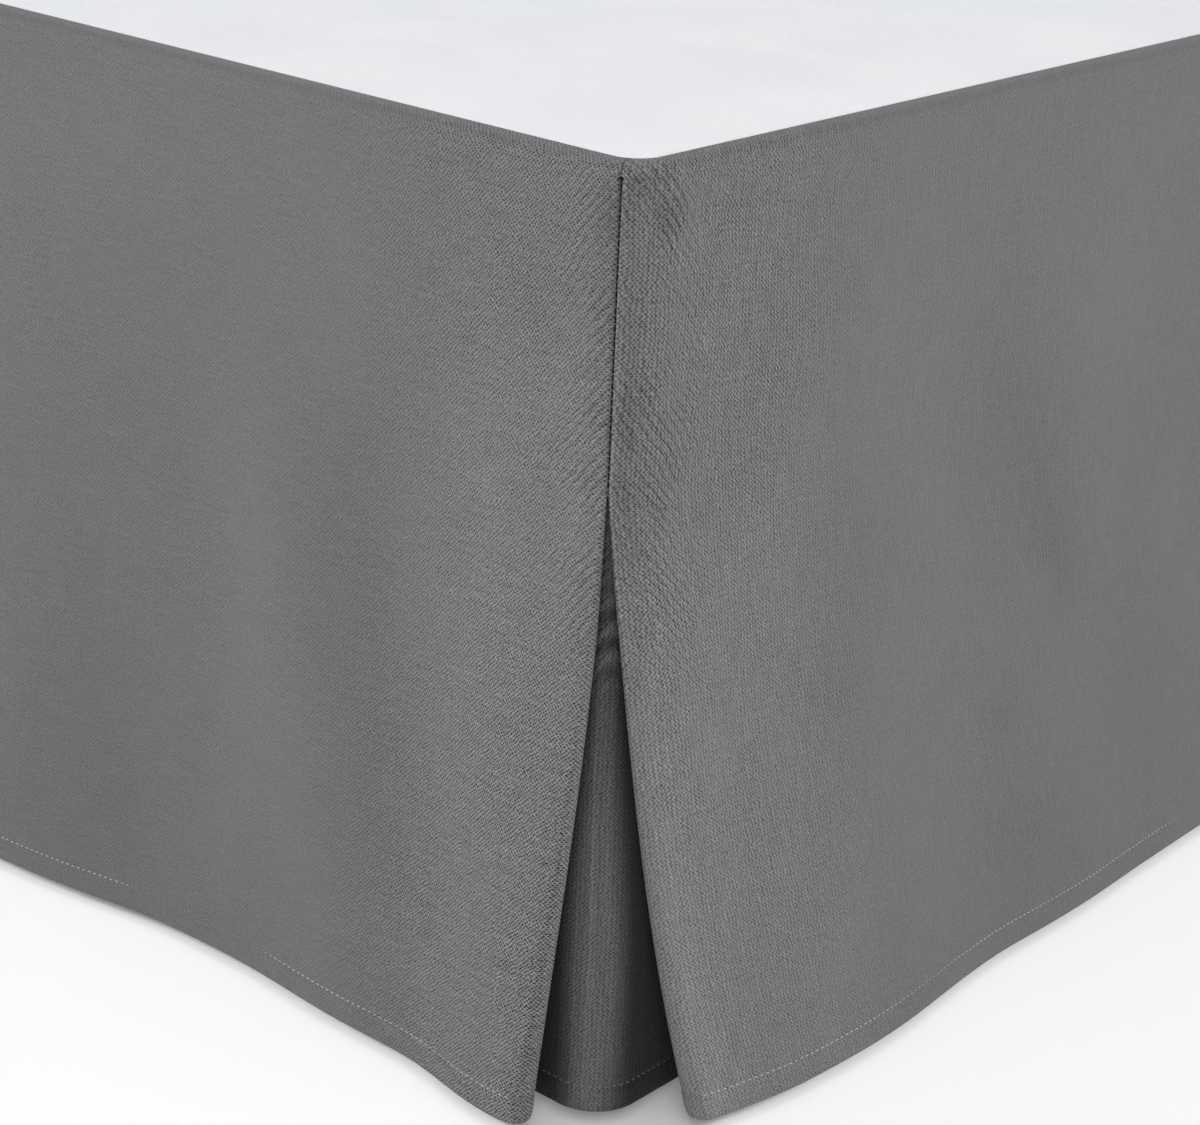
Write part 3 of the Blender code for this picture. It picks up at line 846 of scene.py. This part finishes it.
def closing_stitches(hand):
    """Short stitches that close the corner seam, and a bar of them above the split."""
    stitches = []
    heights = []
    height = HANG_TOP_Z - SEAM_START
    split = mix(HANG_TOP_Z, FLOOR_GAP, SPLIT_SHARE)
    while height > split + SEAM_PITCH:
        heights.append(height)
        height -= SEAM_PITCH
    heights += [split + offset for offset in SPLIT_BAR]
    for height in heights:
        out = corner_out(hang_share(height))
        centre = (CORNER_RADIUS - out, out - CORNER_RADIUS)
        reach = CORNER_RADIUS - SEAM_SINK
        along = centre[0] - reach * math.sin(FOOT_WRAP)
        outward = centre[1] + reach * math.cos(FOOT_WRAP)
        place = Vector((hand * (SKIRT_WIDTH / 2 - along), FOOT_Y - outward, height))
        facing = Vector((hand * math.sin(FOOT_WRAP), -math.cos(FOOT_WRAP), 0))
        across = Vector((0, 0, 1)).cross(facing)
        across = (across + Vector((0, 0, SEAM_TILT * hand))).normalized()
        stitches.append(Stitch(place, across, facing))
    return stitches


# Deck


def deck_piece(finish):
    """The deck: a sheet with rounded foot corners and faint soft wrinkles."""
    half_width = SKIRT_WIDTH / 2 - LIP_INSET - SEAT_GAP
    foot = FOOT_Y + LIP_INSET + SEAT_GAP
    head = HEAD_Y - HEAD_MARGIN
    sheet = bmesh.new()
    bmesh.ops.create_grid(sheet, x_segments=1, y_segments=1, size=1.0)
    for vertex in sheet.verts:
        vertex.co.x *= half_width
        vertex.co.y = foot if vertex.co.y < 0 else head
    corners = [vertex for vertex in sheet.verts if vertex.co.y < 0]
    radius = CORNER_RADIUS - LIP_INSET - SEAT_GAP
    bmesh.ops.bevel(
        sheet, geom=corners, affect="VERTICES", offset=radius, segments=12, profile=0.5, material=-1
    )
    across = [side * (half_width - inset) for inset in DECK_EDGE for side in (1, -1)]
    across += [DECK_STEP * step for step in range(-DECK_COLUMNS, DECK_COLUMNS + 1)]
    along = [foot + inset for inset in DECK_EDGE]
    along += [foot + DECK_STEP * (step + 1) for step in range(DECK_ROWS)]
    for places, normal in ((across, (1, 0, 0)), (along, (0, 1, 0))):
        for place in places:
            everything = sheet.verts[:] + sheet.edges[:] + sheet.faces[:]
            point = Vector(normal) * place
            bmesh.ops.bisect_plane(sheet, geom=everything, plane_co=point, plane_no=normal)
    for vertex in sheet.verts:
        x, y = vertex.co.x, vertex.co.y
        border = deck_border(x, y, half_width, foot)
        lift = deck_lift(x, y) * ease(border / DECK_CALM)
        vertex.co.z = SHEET_TOP_Z + lift - DECK_SINK * (1 - ease(border / DECK_SINK_WIDTH))
    layer = sheet.loops.layers.uv.new("cloth")
    for face in sheet.faces:
        for loop in face.loops:
            loop[layer].uv = loop.vert.co.xy
    return shown_piece("deck_cloth", sheet, finish)


def deck_border(x, y, half_width, foot):
    """How far a place on the deck is from its sewn edges."""
    radius = CORNER_RADIUS - LIP_INSET
    side = half_width - abs(x)
    front = y - foot
    if side < radius and front < radius:
        return max(radius - math.hypot(radius - side, radius - front), 0.0)
    return min(side, front)


def deck_lift(x, y):
    """Faint wrinkles of the deck: slack that runs across it and soft dents."""
    broad = noise.noise(Vector((x * 5.0, y * 4.0, 3.1)))
    slack = noise.noise(Vector((x * 9 + y * 5, y * 13 - x * 4, 7.7)))
    crease = 1 - abs(noise.noise(Vector((x * 4 + 1.3, y * 6, 1.9)))) * 5
    return 0.0011 + 0.0008 * broad + 0.0006 * slack + 0.0007 * max(crease, 0.0) ** 2


# Foundation under the cloth


def level_edges(shape, height):
    """The edges of a shape that lie at a height."""
    return [e for e in shape.edges if all(abs(v.co.z - height) < 1e-4 for v in e.verts)]


def round_edges(shape, edges, radius, segments):
    """Round some edges of a shape."""
    bmesh.ops.bevel(
        shape, geom=edges, affect="EDGES", offset=radius, segments=segments, profile=0.5, material=-1
    )


def foundation_piece(cover, dust_cover):
    """The upholstered block, with a thin cloth set into its underside."""
    low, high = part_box("bed_base")
    block = bmesh.new()
    bmesh.ops.create_cube(block, size=1.0)
    size = high - low
    middle = (high + low) / 2
    bmesh.ops.scale(block, vec=size, verts=block.verts)
    bmesh.ops.translate(block, vec=middle, verts=block.verts)
    flat = level_edges(block, low.z) + level_edges(block, high.z)
    upright = [edge for edge in block.edges if edge not in flat]
    round_edges(block, upright, BASE_CORNER, 8)
    round_edges(block, level_edges(block, high.z), BASE_TOP_EDGE, 3)
    round_edges(block, level_edges(block, low.z), BASE_LOW_EDGE, 6)
    under = [face for face in block.faces if face.normal.z < -0.99]
    bmesh.ops.inset_region(block, faces=under, thickness=DUST_INSET, depth=0.0)
    bmesh.ops.inset_region(block, faces=under, thickness=DUST_STEP, depth=-DUST_STEP / 2)
    piece = shown_piece("foundation", block, cover)
    piece.data.materials.append(dust_cover)
    for polygon in piece.data.polygons:
        reach = size.x / 2 - DUST_MARGIN
        inside = all(abs(piece.data.vertices[v].co.x) < reach for v in polygon.vertices)
        if polygon.normal.z < -0.99 and inside:
            polygon.material_index = 1
    return piece


def welt_piece(name, height, finish):
    """A piped welt round the foundation."""
    low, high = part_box("bed_base")
    radius = BASE_CORNER
    outline = bpy.data.curves.new(name, "CURVE")
    outline.dimensions = "3D"
    outline.bevel_depth = WELT_RADIUS
    outline.bevel_resolution = 4
    line = outline.splines.new("POLY")
    places = []
    corners = ((low.x, low.y, 180), (high.x, low.y, 270), (high.x, high.y, 0), (low.x, high.y, 90))
    for x, y, start in corners:
        centre = (x + math.copysign(radius, -x), y + math.copysign(radius, -y))
        for step in range(WELT_STEPS + 1):
            angle = math.radians(start + 90 * step / WELT_STEPS)
            reach = radius - WELT_SUNK
            places.append((centre[0] + reach * math.cos(angle), centre[1] + reach * math.sin(angle)))
    line.points.add(len(places) - 1)
    for point, (x, y) in zip(line.points, places):
        point.co = (x, y, height, 1.0)
    line.use_cyclic_u = True
    drawn = bpy.data.objects.new(name, outline)
    bpy.context.scene.collection.objects.link(drawn)
    bpy.context.view_layer.update()
    mesh = bpy.data.meshes.new_from_object(drawn.evaluated_get(bpy.context.evaluated_depsgraph_get()))
    bpy.data.objects.remove(drawn)
    mesh.name = name
    mesh.shade_smooth()
    mesh.materials.clear()
    mesh.materials.append(finish)
    piece = bpy.data.objects.new(name, mesh)
    bpy.context.scene.collection.objects.link(piece)
    return piece


# Finishes


class Value:
    """A socket of a finish; sums and products of values add their Math nodes."""

    def __init__(self, finish, socket):
        self.finish = finish
        self.socket = socket

    def maths(self, operation, *others):
        """A sum on this value and others."""
        return self.finish.maths(operation, self, *others)

    def __add__(self, other):
        return self.finish.maths("ADD", self, other)

    __radd__ = __add__

    def __sub__(self, other):
        return self.finish.maths("SUBTRACT", self, other)

    def __rsub__(self, other):
        return self.finish.maths("SUBTRACT", other, self)

    def __mul__(self, other):
        return self.finish.maths("MULTIPLY", self, other)

    __rmul__ = __mul__

    def __truediv__(self, other):
        return self.finish.maths("DIVIDE", self, other)

    def __rtruediv__(self, other):
        return self.finish.maths("DIVIDE", other, self)

    def __pow__(self, other):
        return self.finish.maths("POWER", self, other)


class Finish:
    """A material and the nodes that make its surface."""

    def __init__(self, name, **constants):
        self.material = bpy.data.materials.new(name)
        self.material.use_nodes = True
        self.tree = self.material.node_tree
        self.shader = self.tree.nodes["Principled BSDF"]
        for key, value in constants.items():
            self.shader.inputs[key.replace("_", " ")].default_value = value

    def node(self, kind, sockets, output=0, stops=None, **settings):
        """Add a node with its settings and sockets, and give one of its outputs."""
        made = self.tree.nodes.new(kind)
        for name, value in settings.items():
            setattr(made, name, value)
        if stops:
            ramp = made.color_ramp
            while len(ramp.elements) < len(stops):
                ramp.elements.new(1.0)
            for element, (position, colour) in zip(ramp.elements, stops):
                element.position = position
                element.color = (*colour, 1.0)
        for key, value in sockets.items():
            self.feed(made.inputs[key], value)
        return Value(self, made.outputs[output])

    def feed(self, socket, value):
        """Link a value to a socket, or set it there."""
        if isinstance(value, Value):
            self.tree.links.new(value.socket, socket)
        else:
            socket.default_value = value

    def surface(self, name, value):
        """Feed one of the shader's own sockets."""
        self.feed(self.shader.inputs[name], value)

    def maths(self, operation, *values):
        """A Math node on values and numbers."""
        sockets = dict(enumerate(values))
        return self.node("ShaderNodeMath", sockets, operation=operation)

    def blend(self, share, low, high):
        """Mix two colours."""
        low = low if isinstance(low, Value) else (*low, 1.0)
        high = high if isinstance(high, Value) else (*high, 1.0)
        sockets = {0: share, 6: low, 7: high}
        return self.node("ShaderNodeMix", sockets, output=2, data_type="RGBA")

    def dimmed(self, colour, amount):
        """A colour times a value."""
        grey = self.node("ShaderNodeCombineColor", {0: amount, 1: amount, 2: amount})
        colour = colour if isinstance(colour, Value) else (*colour, 1.0)
        sockets = {0: 1.0, 6: colour, 7: grey}
        return self.node("ShaderNodeMix", sockets, output=2, data_type="RGBA", blend_type="MULTIPLY")

    def object_place(self):
        """The place on the piece, in metres."""
        return self.node("ShaderNodeTexCoord", {}, output=3)

    def axis(self, place, number):
        """One coordinate of a place: 0 is X, 1 is Y and 2 is Z."""
        return self.node("ShaderNodeSeparateXYZ", {0: place}, output=number)

    def cloth_map(self):
        """Across and up the cloth, in metres."""
        place = self.node("ShaderNodeUVMap", {}, uv_map="cloth")
        return place, self.axis(place, 0), self.axis(place, 1)

    def spots(self, place, scale, detail=2.0, roughness=0.5, stretch=(1, 1, 1)):
        """Noise from 0 to 1."""
        held = self.node("ShaderNodeMapping", {0: place, 3: stretch})
        sockets = {"Vector": held, "Scale": scale, "Detail": detail, "Roughness": roughness}
        return self.node("ShaderNodeTexNoise", sockets)

    def range(self, value, low, high, first=0.0, last=1.0):
        """A value moved from one range to another, held at its ends and eased."""
        sockets = {0: value, 1: low, 2: high, 3: first, 4: last}
        return self.node("ShaderNodeMapRange", sockets, interpolation_type="SMOOTHSTEP")

    def relief(self, height, distance, strength=1.0):
        """Bump from a height."""
        sockets = {"Height": height, "Distance": distance, "Strength": strength}
        self.surface("Normal", self.node("ShaderNodeBump", sockets))


def pinch(cloth, from_seam, up):
    """1 in the middle of the small hollow that the seam draws at its top, and 0 around it."""
    aside = (from_seam - PINCH_ASIDE).maths("ABSOLUTE")
    beside = cloth.range(aside, 0.0, PINCH_HALF_WIDTH, 1.0, 0.0)
    deep = (up + PINCH_DOWN + from_seam * PINCH_LEAN).maths("ABSOLUTE")
    below = cloth.range(deep, 0.0, PINCH_HALF_DEPTH, 1.0, 0.0)
    return beside * below


def drop_tone(cloth, place, from_seam, up, low=-0.10, high=-0.05, edge=0.0):
    """How the grey of a drop varies: painted light on its corner wrap beside the seam, painted light
    beside the corner lower down, and painted shade in the hollow at the seam's top.
    """
    # Painted light: the corner wrap within 2 to 20 mm of the seam is made a fifth lighter
    wear_and_painted_light = cloth.range(from_seam, 0.002, 0.020, 0.20, 0.0)
    # Painted light: lighter within 60 mm of the seam and a little darker past 130 mm, in full below the
    # height low and in part above high
    beside = cloth.range(from_seam, 0.060, 0.130, 0.165, -0.030)
    # Painted light: a side drop is made lighter still within 8 to 45 mm of the seam, below the same height
    seam_side_light = cloth.range(from_seam, 0.008, 0.045, edge, 0.0)
    lower = cloth.range(up, low, high, 1.0, PAINTED_LIGHT_ABOVE_SHARE)
    # Painted shade in the small hollow that the seam draws at its top
    drawn = pinch(cloth, from_seam, up)
    return 1.0 + wear_and_painted_light + beside * lower + seam_side_light * (lower - PAINTED_LIGHT_ABOVE_SHARE) - drawn * PINCH_PAINTED_SHADE


def side_tone(cloth, place, from_seam, up):
    """How the grey of a side drop varies: its painted light beside the corner starts lower down and
    reaches nearer the seam.
    """
    return drop_tone(cloth, place, from_seam, up, -0.165, -0.125, 0.16)


def underlay_light_and_shade(cloth, place, from_seam, up):
    """How the grey of an underlay varies: a painted highlight along its middle, painted shade at its sides
    behind the drops and towards the top of the split, painted light and shade across its ripples, and
    random streaks.
    """
    # Painted highlight narrowing and painted shade deepening towards the top of the split
    spread = cloth.range(up, -0.33, -0.19, 1.0, 0.42)
    deeper = cloth.range(up, -0.30, -0.21, 1.0, 0.66)
    across = cloth.axis(place, 0)
    aside = (across + 0.003).maths("ABSOLUTE")
    # Painted highlight along the middle, falling to painted shade at the sides behind the drops
    middle = cloth.range(aside / spread, 0.0, 0.018, 1.90, 0.12)
    streaks = cloth.spots(place, 260.0, 1.0, stretch=(1, 0.03, 1)) - 0.5
    # Painted light and shade across the ripples near the top
    arc = (up + from_seam * from_seam * RIPPLE_CURVE) * (2 * math.pi / RIPPLE_PITCH)
    crease_shading = cloth.range((up + RIPPLE_DEPTH).maths("ABSOLUTE"), 0.004, RIPPLE_REACH, 0.42, 0.0)
    return middle * deeper * (1.0 + streaks * 0.9 + arc.maths("SINE") * crease_shading)


def woven_grey(name, warp, weft, seam_at, colour, shade, bold):
    """Grey cloth of coarse yarn in a plain weave, clearest and drawn up near its seam, with its puckers'
    light and shade painted into the grey.
    """
    cloth = Finish(name, Sheen_Weight=0.08, Sheen_Roughness=0.6, Specular_IOR_Level=0.2)
    place, across, up = cloth.cloth_map()
    turns = 2 * math.pi / WEAVE_REPEAT
    drift = cloth.spots(place, DRIFT_SCALE, 2.0) - 0.5
    drift_up = cloth.spots(place, DRIFT_UP_SCALE, 2.0, stretch=(1, 1.3, 1)) - 0.5
    slant = cloth.spots(place, 9.0, 0.0) - 0.5
    thread_u = (across + drift * DRIFT + slant * SLANT) * turns
    thread_v = (up + drift_up * DRIFT_UP) * turns
    checks = thread_u.maths("SINE") * thread_v.maths("SINE")
    ribs_u = (thread_u * (1 if warp > weft else 2)).maths("COSINE")
    ribs_v = (thread_v * 2).maths("COSINE")
    slub_u = cloth.spots(place, SLUB_SCALE, 1.0, stretch=(1, 0.12, 1)) - 0.5
    slub_v = cloth.spots(place, SLUB_SCALE, 1.0, stretch=(0.12, 1, 1)) - 0.5
    fibre = cloth.spots(place, FIBRE_SCALE, 2.0) - 0.5
    weave = checks * CHECK_SHARE + ribs_u * (RIB_SHARE * warp) + ribs_v * (RIB_SHARE * weft)
    yarn = slub_u * (SLUB_SHARE * warp) + slub_v * (SLUB_SHARE * weft) + fibre * FIBRE_SHARE
    from_seam = (across.maths("ABSOLUTE") - seam_at).maths("ABSOLUTE")
    bolder = cloth.range(up, BOLD_LOW, BOLD_HIGH, bold[1], bold[0])
    clear = cloth.range(from_seam, CLEAR_FROM, CLEAR_TO, bolder, WEAVE_FAR)
    uneven = cloth.spots(place, 33.0, 2.0)
    height = (weave + yarn) * clear * (0.7 + uneven * 0.6)
    wander = cloth.spots(place, 55.0, 2.0) - 0.5
    pull = (up * 0.8 + from_seam * 1.15 + wander * 0.008) * (2 * math.pi / PUCKER_PITCH)
    near = cloth.range(from_seam, 0.004, 0.050, 1.0, 0.0)
    sewn = cloth.range(up, -0.25, -0.12)
    pucker = pull.maths("SINE") * near * sewn * cloth.range(uneven, 0.3, 0.6)
    broad = cloth.spots(place, 7.0, 3.0) - 0.5
    patch = cloth.spots(place, 28.0, 2.0) - 0.5
    # The puckers' ridges and hollows are painted lighter and darker here, as well as bumped
    detail = 1.0 + height * WEAVE_TONE + pucker * PUCKER_PAINTED_SHADE + broad * 0.10 + patch * 0.05
    cloth.surface("Base Color", cloth.dimmed(colour, detail * shade(cloth, place, from_seam, up)))
    cloth.surface("Roughness", 0.90 - height * 0.04)
    drawn = pinch(cloth, from_seam, up)
    cloth.relief(height * 0.45 + pucker * PUCKER_RELIEF - drawn * PINCH_RELIEF, WEAVE_RELIEF)
    return cloth.material


def deck_white():
    """Smooth white cloth with a fine weave and faint bluish painted shade in soft patches that stand for
    its dents.
    """
    cloth = Finish("deck_white", Sheen_Weight=0.1, Specular_IOR_Level=0.2, Roughness=0.85)
    place, across, up = cloth.cloth_map()
    fine = 2 * math.pi / 0.0011
    checks = (across * fine).maths("SINE") * (up * fine).maths("SINE")
    broad = cloth.spots(place, 11.0, 3.0)
    bluish_shade = cloth.spots(place, 17.0, 2.0)
    # Painted shade: soft patches of a darker, bluer white
    colour = cloth.blend(cloth.range(bluish_shade, 0.35, 0.7), (0.660, 0.670, 0.705), (0.690, 0.692, 0.708))
    cloth.surface("Base Color", cloth.dimmed(colour, 0.97 + broad * 0.06))
    ruck = cloth.spots(place, 38.0, 3.0, stretch=(1, 0.5, 1))
    cloth.relief(checks * 0.05 + ruck, 0.0006)
    return cloth.material


def hem_thread(name, colour):
    """Twisted sewing thread."""
    thread = Finish(name, Roughness=0.7, Sheen_Weight=0.2)
    place = thread.object_place()
    twist = thread.spots(place, 2600.0, 1.0)
    thread.surface("Base Color", thread.dimmed(colour, 0.8 + twist * 0.4))
    thread.relief(twist, 0.00008)
    return thread.material


def ticking_cover():
    """Pale ticking with thin grey stripes and a fine twill."""
    cover = Finish("ticking_cover", Roughness=0.85, Sheen_Weight=0.1)
    place = cover.object_place()
    x = cover.axis(place, 0)
    y = cover.axis(place, 1)
    z = cover.axis(place, 2)
    sweep = (x + y) * (2 * math.pi / 0.016)
    stripe = cover.range(sweep.maths("COSINE"), 0.86, 0.95)
    twill = ((x + y + z) * (2 * math.pi / 0.0014)).maths("SINE")
    wear_and_painted_light = cover.spots(place, 12.0, 3.0)
    colour = cover.blend(stripe * 0.7, (0.66, 0.64, 0.60), (0.36, 0.37, 0.40))
    cover.surface("Base Color", cover.dimmed(colour, 0.94 + wear_and_painted_light * 0.1 + twill * 0.03))
    cover.relief(twill * 0.5 + wear_and_painted_light, 0.0003)
    return cover.material


def welt_cord():
    """Piping covered in plain pale cloth."""
    cord = Finish("welt_cord", Roughness=0.85)
    place = cord.object_place()
    ribs = cord.spots(place, 900.0, 1.0)
    cord.surface("Base Color", cord.dimmed((0.55, 0.53, 0.49), 0.9 + ribs * 0.2))
    cord.relief(ribs, 0.0002)
    return cord.material


def dust_cloth():
    """Thin dark unwoven cloth under the foundation."""
    cloth = Finish("dust_cloth", Roughness=0.95)
    place = cloth.object_place()
    fibres = cloth.spots(place, 260.0, 4.0, 0.7, stretch=(1, 0.4, 1))
    cloth.surface("Base Color", cloth.dimmed((0.050, 0.050, 0.053), 0.7 + fibres * 0.6))
    cloth.relief(fibres, 0.0004)
    return cloth.material


def leg_wood():
    """Brown stained wood with its grain along the leg."""
    wood = Finish("leg_wood_grain", Coat_Weight=0.15, Coat_Roughness=0.35)
    place = wood.object_place()
    grain = wood.spots(place, 90.0, 4.0, 0.6, stretch=(1, 1, 0.07))
    pores = wood.spots(place, 700.0, 2.0, 0.5, stretch=(1, 1, 0.05))
    rings = wood.spots(place, 22.0, 1.0, 0.5, stretch=(1, 1, 0.12))
    shade = wood.range(grain * 0.6 + rings * 0.4, 0.32, 0.68)
    colour = wood.blend(shade, (0.115, 0.055, 0.026), (0.265, 0.140, 0.070))
    wood.surface("Base Color", wood.dimmed(colour, 0.85 + pores * 0.3))
    wood.surface("Roughness", 0.42 + pores * 0.18)
    wood.relief(grain * 0.5 + pores * 0.5, 0.0003)
    return wood.material


def floor_paint():
    """Pale matt floor."""
    floor = Finish("pale_floor", Roughness=0.9, Specular_IOR_Level=0.1)
    place = floor.object_place()
    cloud = floor.spots(place, 1.5, 2.0)
    floor.surface("Base Color", floor.dimmed((0.96, 0.96, 0.96), 0.985 + cloud * 0.03))
    floor.surface("Emission Color", (1.0, 1.0, 1.0, 1.0))
    floor.surface("Emission Strength", FLOOR_GLOW)
    return floor.material


# The whole


def on_root(piece, slot, *nodes):
    """Let a piece ride on the part and stand for CAD nodes; the slot is not used."""
    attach(piece, "root")
    if nodes:
        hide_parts(*nodes)
    return piece


def build_drops():
    """The three drops with their hem stitches."""
    thread = hem_thread("hem_thread", (0.42, 0.42, 0.43))
    foot_grey = woven_grey("foot_grey", 0.4, 1.0, FOOT_SEAM, GREY, drop_tone, (1.15, 1.8))
    side_grey = woven_grey("side_grey", 1.1, 0.6, 0.0, GREY, side_tone, (1.1, 0.88))
    pieces = (
        ("foot_drop", foot_lines(), foot_grey, FOOT_FLAT),
        ("right_drop", side_lines(RIGHT_SIDE, 1), side_grey, SIDE_FLAT),
        ("left_drop", side_lines(LEFT_SIDE, -1), side_grey, SIDE_FLAT),
    )
    for name, (rows, lines), finish, flat in pieces:
        columns = len(lines[0])
        origin = columns // 2 if name == "foot_drop" else columns - HIDDEN_COLUMNS - 1
        cloth = cloth_piece(name + "_cloth", rows, lines, finish, origin)
        thicken(cloth)
        on_root(cloth, "grey_cloth", name)
        sewn = lines[hem_row_number(rows)]
        if name == "foot_drop":
            sewn = sewn[HIDDEN_COLUMNS: len(sewn) - HIDDEN_COLUMNS]
        else:
            sewn = sewn[len(END_HEM): len(sewn) - HIDDEN_COLUMNS]
        stitches = stitched_line(sewn, centre_of_bed, seed=len(name))
        if name != "foot_drop":
            stitches += stitched_line(end_hem_line(rows, lines), centre_of_bed, seed=2.5)
        sewing = stitch_piece(name + "_hem_stitches", stitches, thread)
        on_root(sewing, "grey_cloth")


def end_hem_line(rows, lines):
    """The line down the head end of a side drop on which its end hem is sewn."""
    column = len(END_HEM)
    first = len(TOP_SEAM) + ROLL_STEPS
    last = hem_row_number(rows)
    line = []
    for number in range(first, last + 1):
        here, ahead = lines[number][column], lines[number][column + 1]
        share = HEM_DEPTH / math.dist(here, ahead)
        line.append(tuple(mix(a, b, min(share, 1.0)) for a, b in zip(here, ahead)))
    return line


def build_underlays():
    """The underlay behind each split, and the stitches that close each corner."""
    # The underlay's grey is darker and carries its painted highlight and shade
    grey = woven_grey("underlay_shaded_grey", 1.1, 0.5, 0.0, SHADED_UNDERLAY_GREY, underlay_light_and_shade, (1.0, 1.0))
    # A darker copy of the hem thread: painted shade, like the underlay's grey
    thread = hem_thread("underlay_thread_shaded", (0.17, 0.17, 0.175))
    closing = hem_thread("closing_thread", (0.13, 0.13, 0.13))
    corners = (
        ("right_corner_insert", FOOT_RIGHT, RIGHT_SIDE, 1),
        ("left_corner_insert", FOOT_LEFT, LEFT_SIDE, -1),
    )
    for name, foot, side, hand in corners:
        rows, lines = insert_lines(foot, side, hand)
        cloth = cloth_piece(name + "_cloth", rows, lines, grey, len(lines[0]) // 2)
        thicken(cloth)
        on_root(cloth, "grey_cloth", name)
        stitches = stitched_line(lines[hem_row_number(rows)], centre_of_bed, seed=4.2)
        sewing = stitch_piece(name + "_hem_stitches", stitches, thread)
        on_root(sewing, "grey_cloth")
        seam = stitch_piece(
            name + "_seam_stitches", closing_stitches(hand), closing, SEAM_STITCH_LENGTH, SEAM_STITCH_WIDTH
        )
        on_root(seam, "grey_cloth")


def build_base():
    """The foundation with its welts, and the wood of the legs."""
    cover = ticking_cover()
    foundation = foundation_piece(cover, dust_cloth())
    on_root(foundation, "base_cover", "bed_base")
    low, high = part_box("bed_base")
    cord = welt_cord()
    for name, height in (("upper_welt", high.z - WELT_BELOW_TOP), ("lower_welt", low.z + WELT_ABOVE_LOW)):
        on_root(welt_piece(name, height, cord), "base_cover")
    wood = leg_wood()
    for name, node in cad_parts.items():
        if name.startswith("leg_"):
            node.material_slots[0].material = wood


def build_deck():
    """The white deck."""
    deck = deck_piece(deck_white())
    thicken(deck)
    on_root(deck, "white_cloth", "deck")


# Lamps: name, place, target, size and power
LAMPS = (
    ("left_lamp", (-9.9, -10.2, 7.6), (0.66, -1.0, 0.2), 3.6, 1880.0),
    ("right_lamp", (10.4, 10.1, 7.6), (0.76, -0.92, 0.2), 3.6, 1790.0),
    ("front_lamp", (2.2, -2.5, 1.7), (0.74, -0.99, 0.2), 1.0, 16.0),
    ("top_lamp", (1.4, -1.7, 3.6), (1.00, -1.20, 0.3), 2.6, 26.0),
)


def build_stage():
    """Pale floor, soft light and the camera."""
    floor = bmesh.new()
    bmesh.ops.create_grid(floor, x_segments=1, y_segments=1, size=30.0)
    shown_piece("floor", floor, floor_paint())
    world = bpy.data.worlds.new("studio")
    bpy.context.scene.world = world
    world.use_nodes = True
    sky = world.node_tree.nodes["Background"]
    sky.inputs["Color"].default_value = (1.0, 1.0, 1.0, 1.0)
    sky.inputs["Strength"].default_value = 0.25
    bpy.context.scene.view_settings.view_transform = "Standard"
    for name, place, target, size, power in LAMPS:
        lamp = bpy.data.lights.new(name, "AREA")
        lamp.size = size
        lamp.energy = power
        holder = bpy.data.objects.new(name, lamp)
        bpy.context.scene.collection.objects.link(holder)
        holder.location = place
        aim = Vector(target) - Vector(place)
        holder.rotation_euler = aim.to_track_quat("-Z", "Y").to_euler()


# Camera, from the photograph's own perspective
IMAGE_WIDTH = 1200
FOCAL_PIXELS = 2886.1
SENSOR = 36.0
CAMERA_FROM_CORNER = (0.6158, -0.7325, 0.6132)
CAMERA_PITCH = 0.3733
CAMERA_YAW = 0.70725
CAMERA_ROLL = 0.04645


def build_camera():
    """The camera at the photograph's angle."""
    ahead = Vector(
        (
            -math.sin(CAMERA_YAW) * math.cos(CAMERA_PITCH),
            math.cos(CAMERA_YAW) * math.cos(CAMERA_PITCH),
            -math.sin(CAMERA_PITCH),
        )
    )
    level = Vector((math.cos(CAMERA_YAW), math.sin(CAMERA_YAW), 0))
    above = level.cross(ahead)
    right = level * math.cos(CAMERA_ROLL) + above * math.sin(CAMERA_ROLL)
    up = above * math.cos(CAMERA_ROLL) - level * math.sin(CAMERA_ROLL)
    turn = Matrix((right, up, -ahead)).transposed().to_4x4()
    corner = Vector((SKIRT_WIDTH / 2, FOOT_Y, FLOOR_GAP))
    turn.translation = corner + Vector(CAMERA_FROM_CORNER)
    lens = bpy.data.cameras.new("photo_camera")
    lens.sensor_fit = "HORIZONTAL"
    lens.sensor_width = SENSOR
    lens.lens = SENSOR * FOCAL_PIXELS / IMAGE_WIDTH
    lens.clip_start = 0.05
    camera = bpy.data.objects.new("photo_camera", lens)
    bpy.context.scene.collection.objects.link(camera)
    camera.matrix_world = turn
    bpy.context.scene.camera = camera


build_camera()
build_stage()
build_base()
build_deck()
build_drops()
build_underlays()
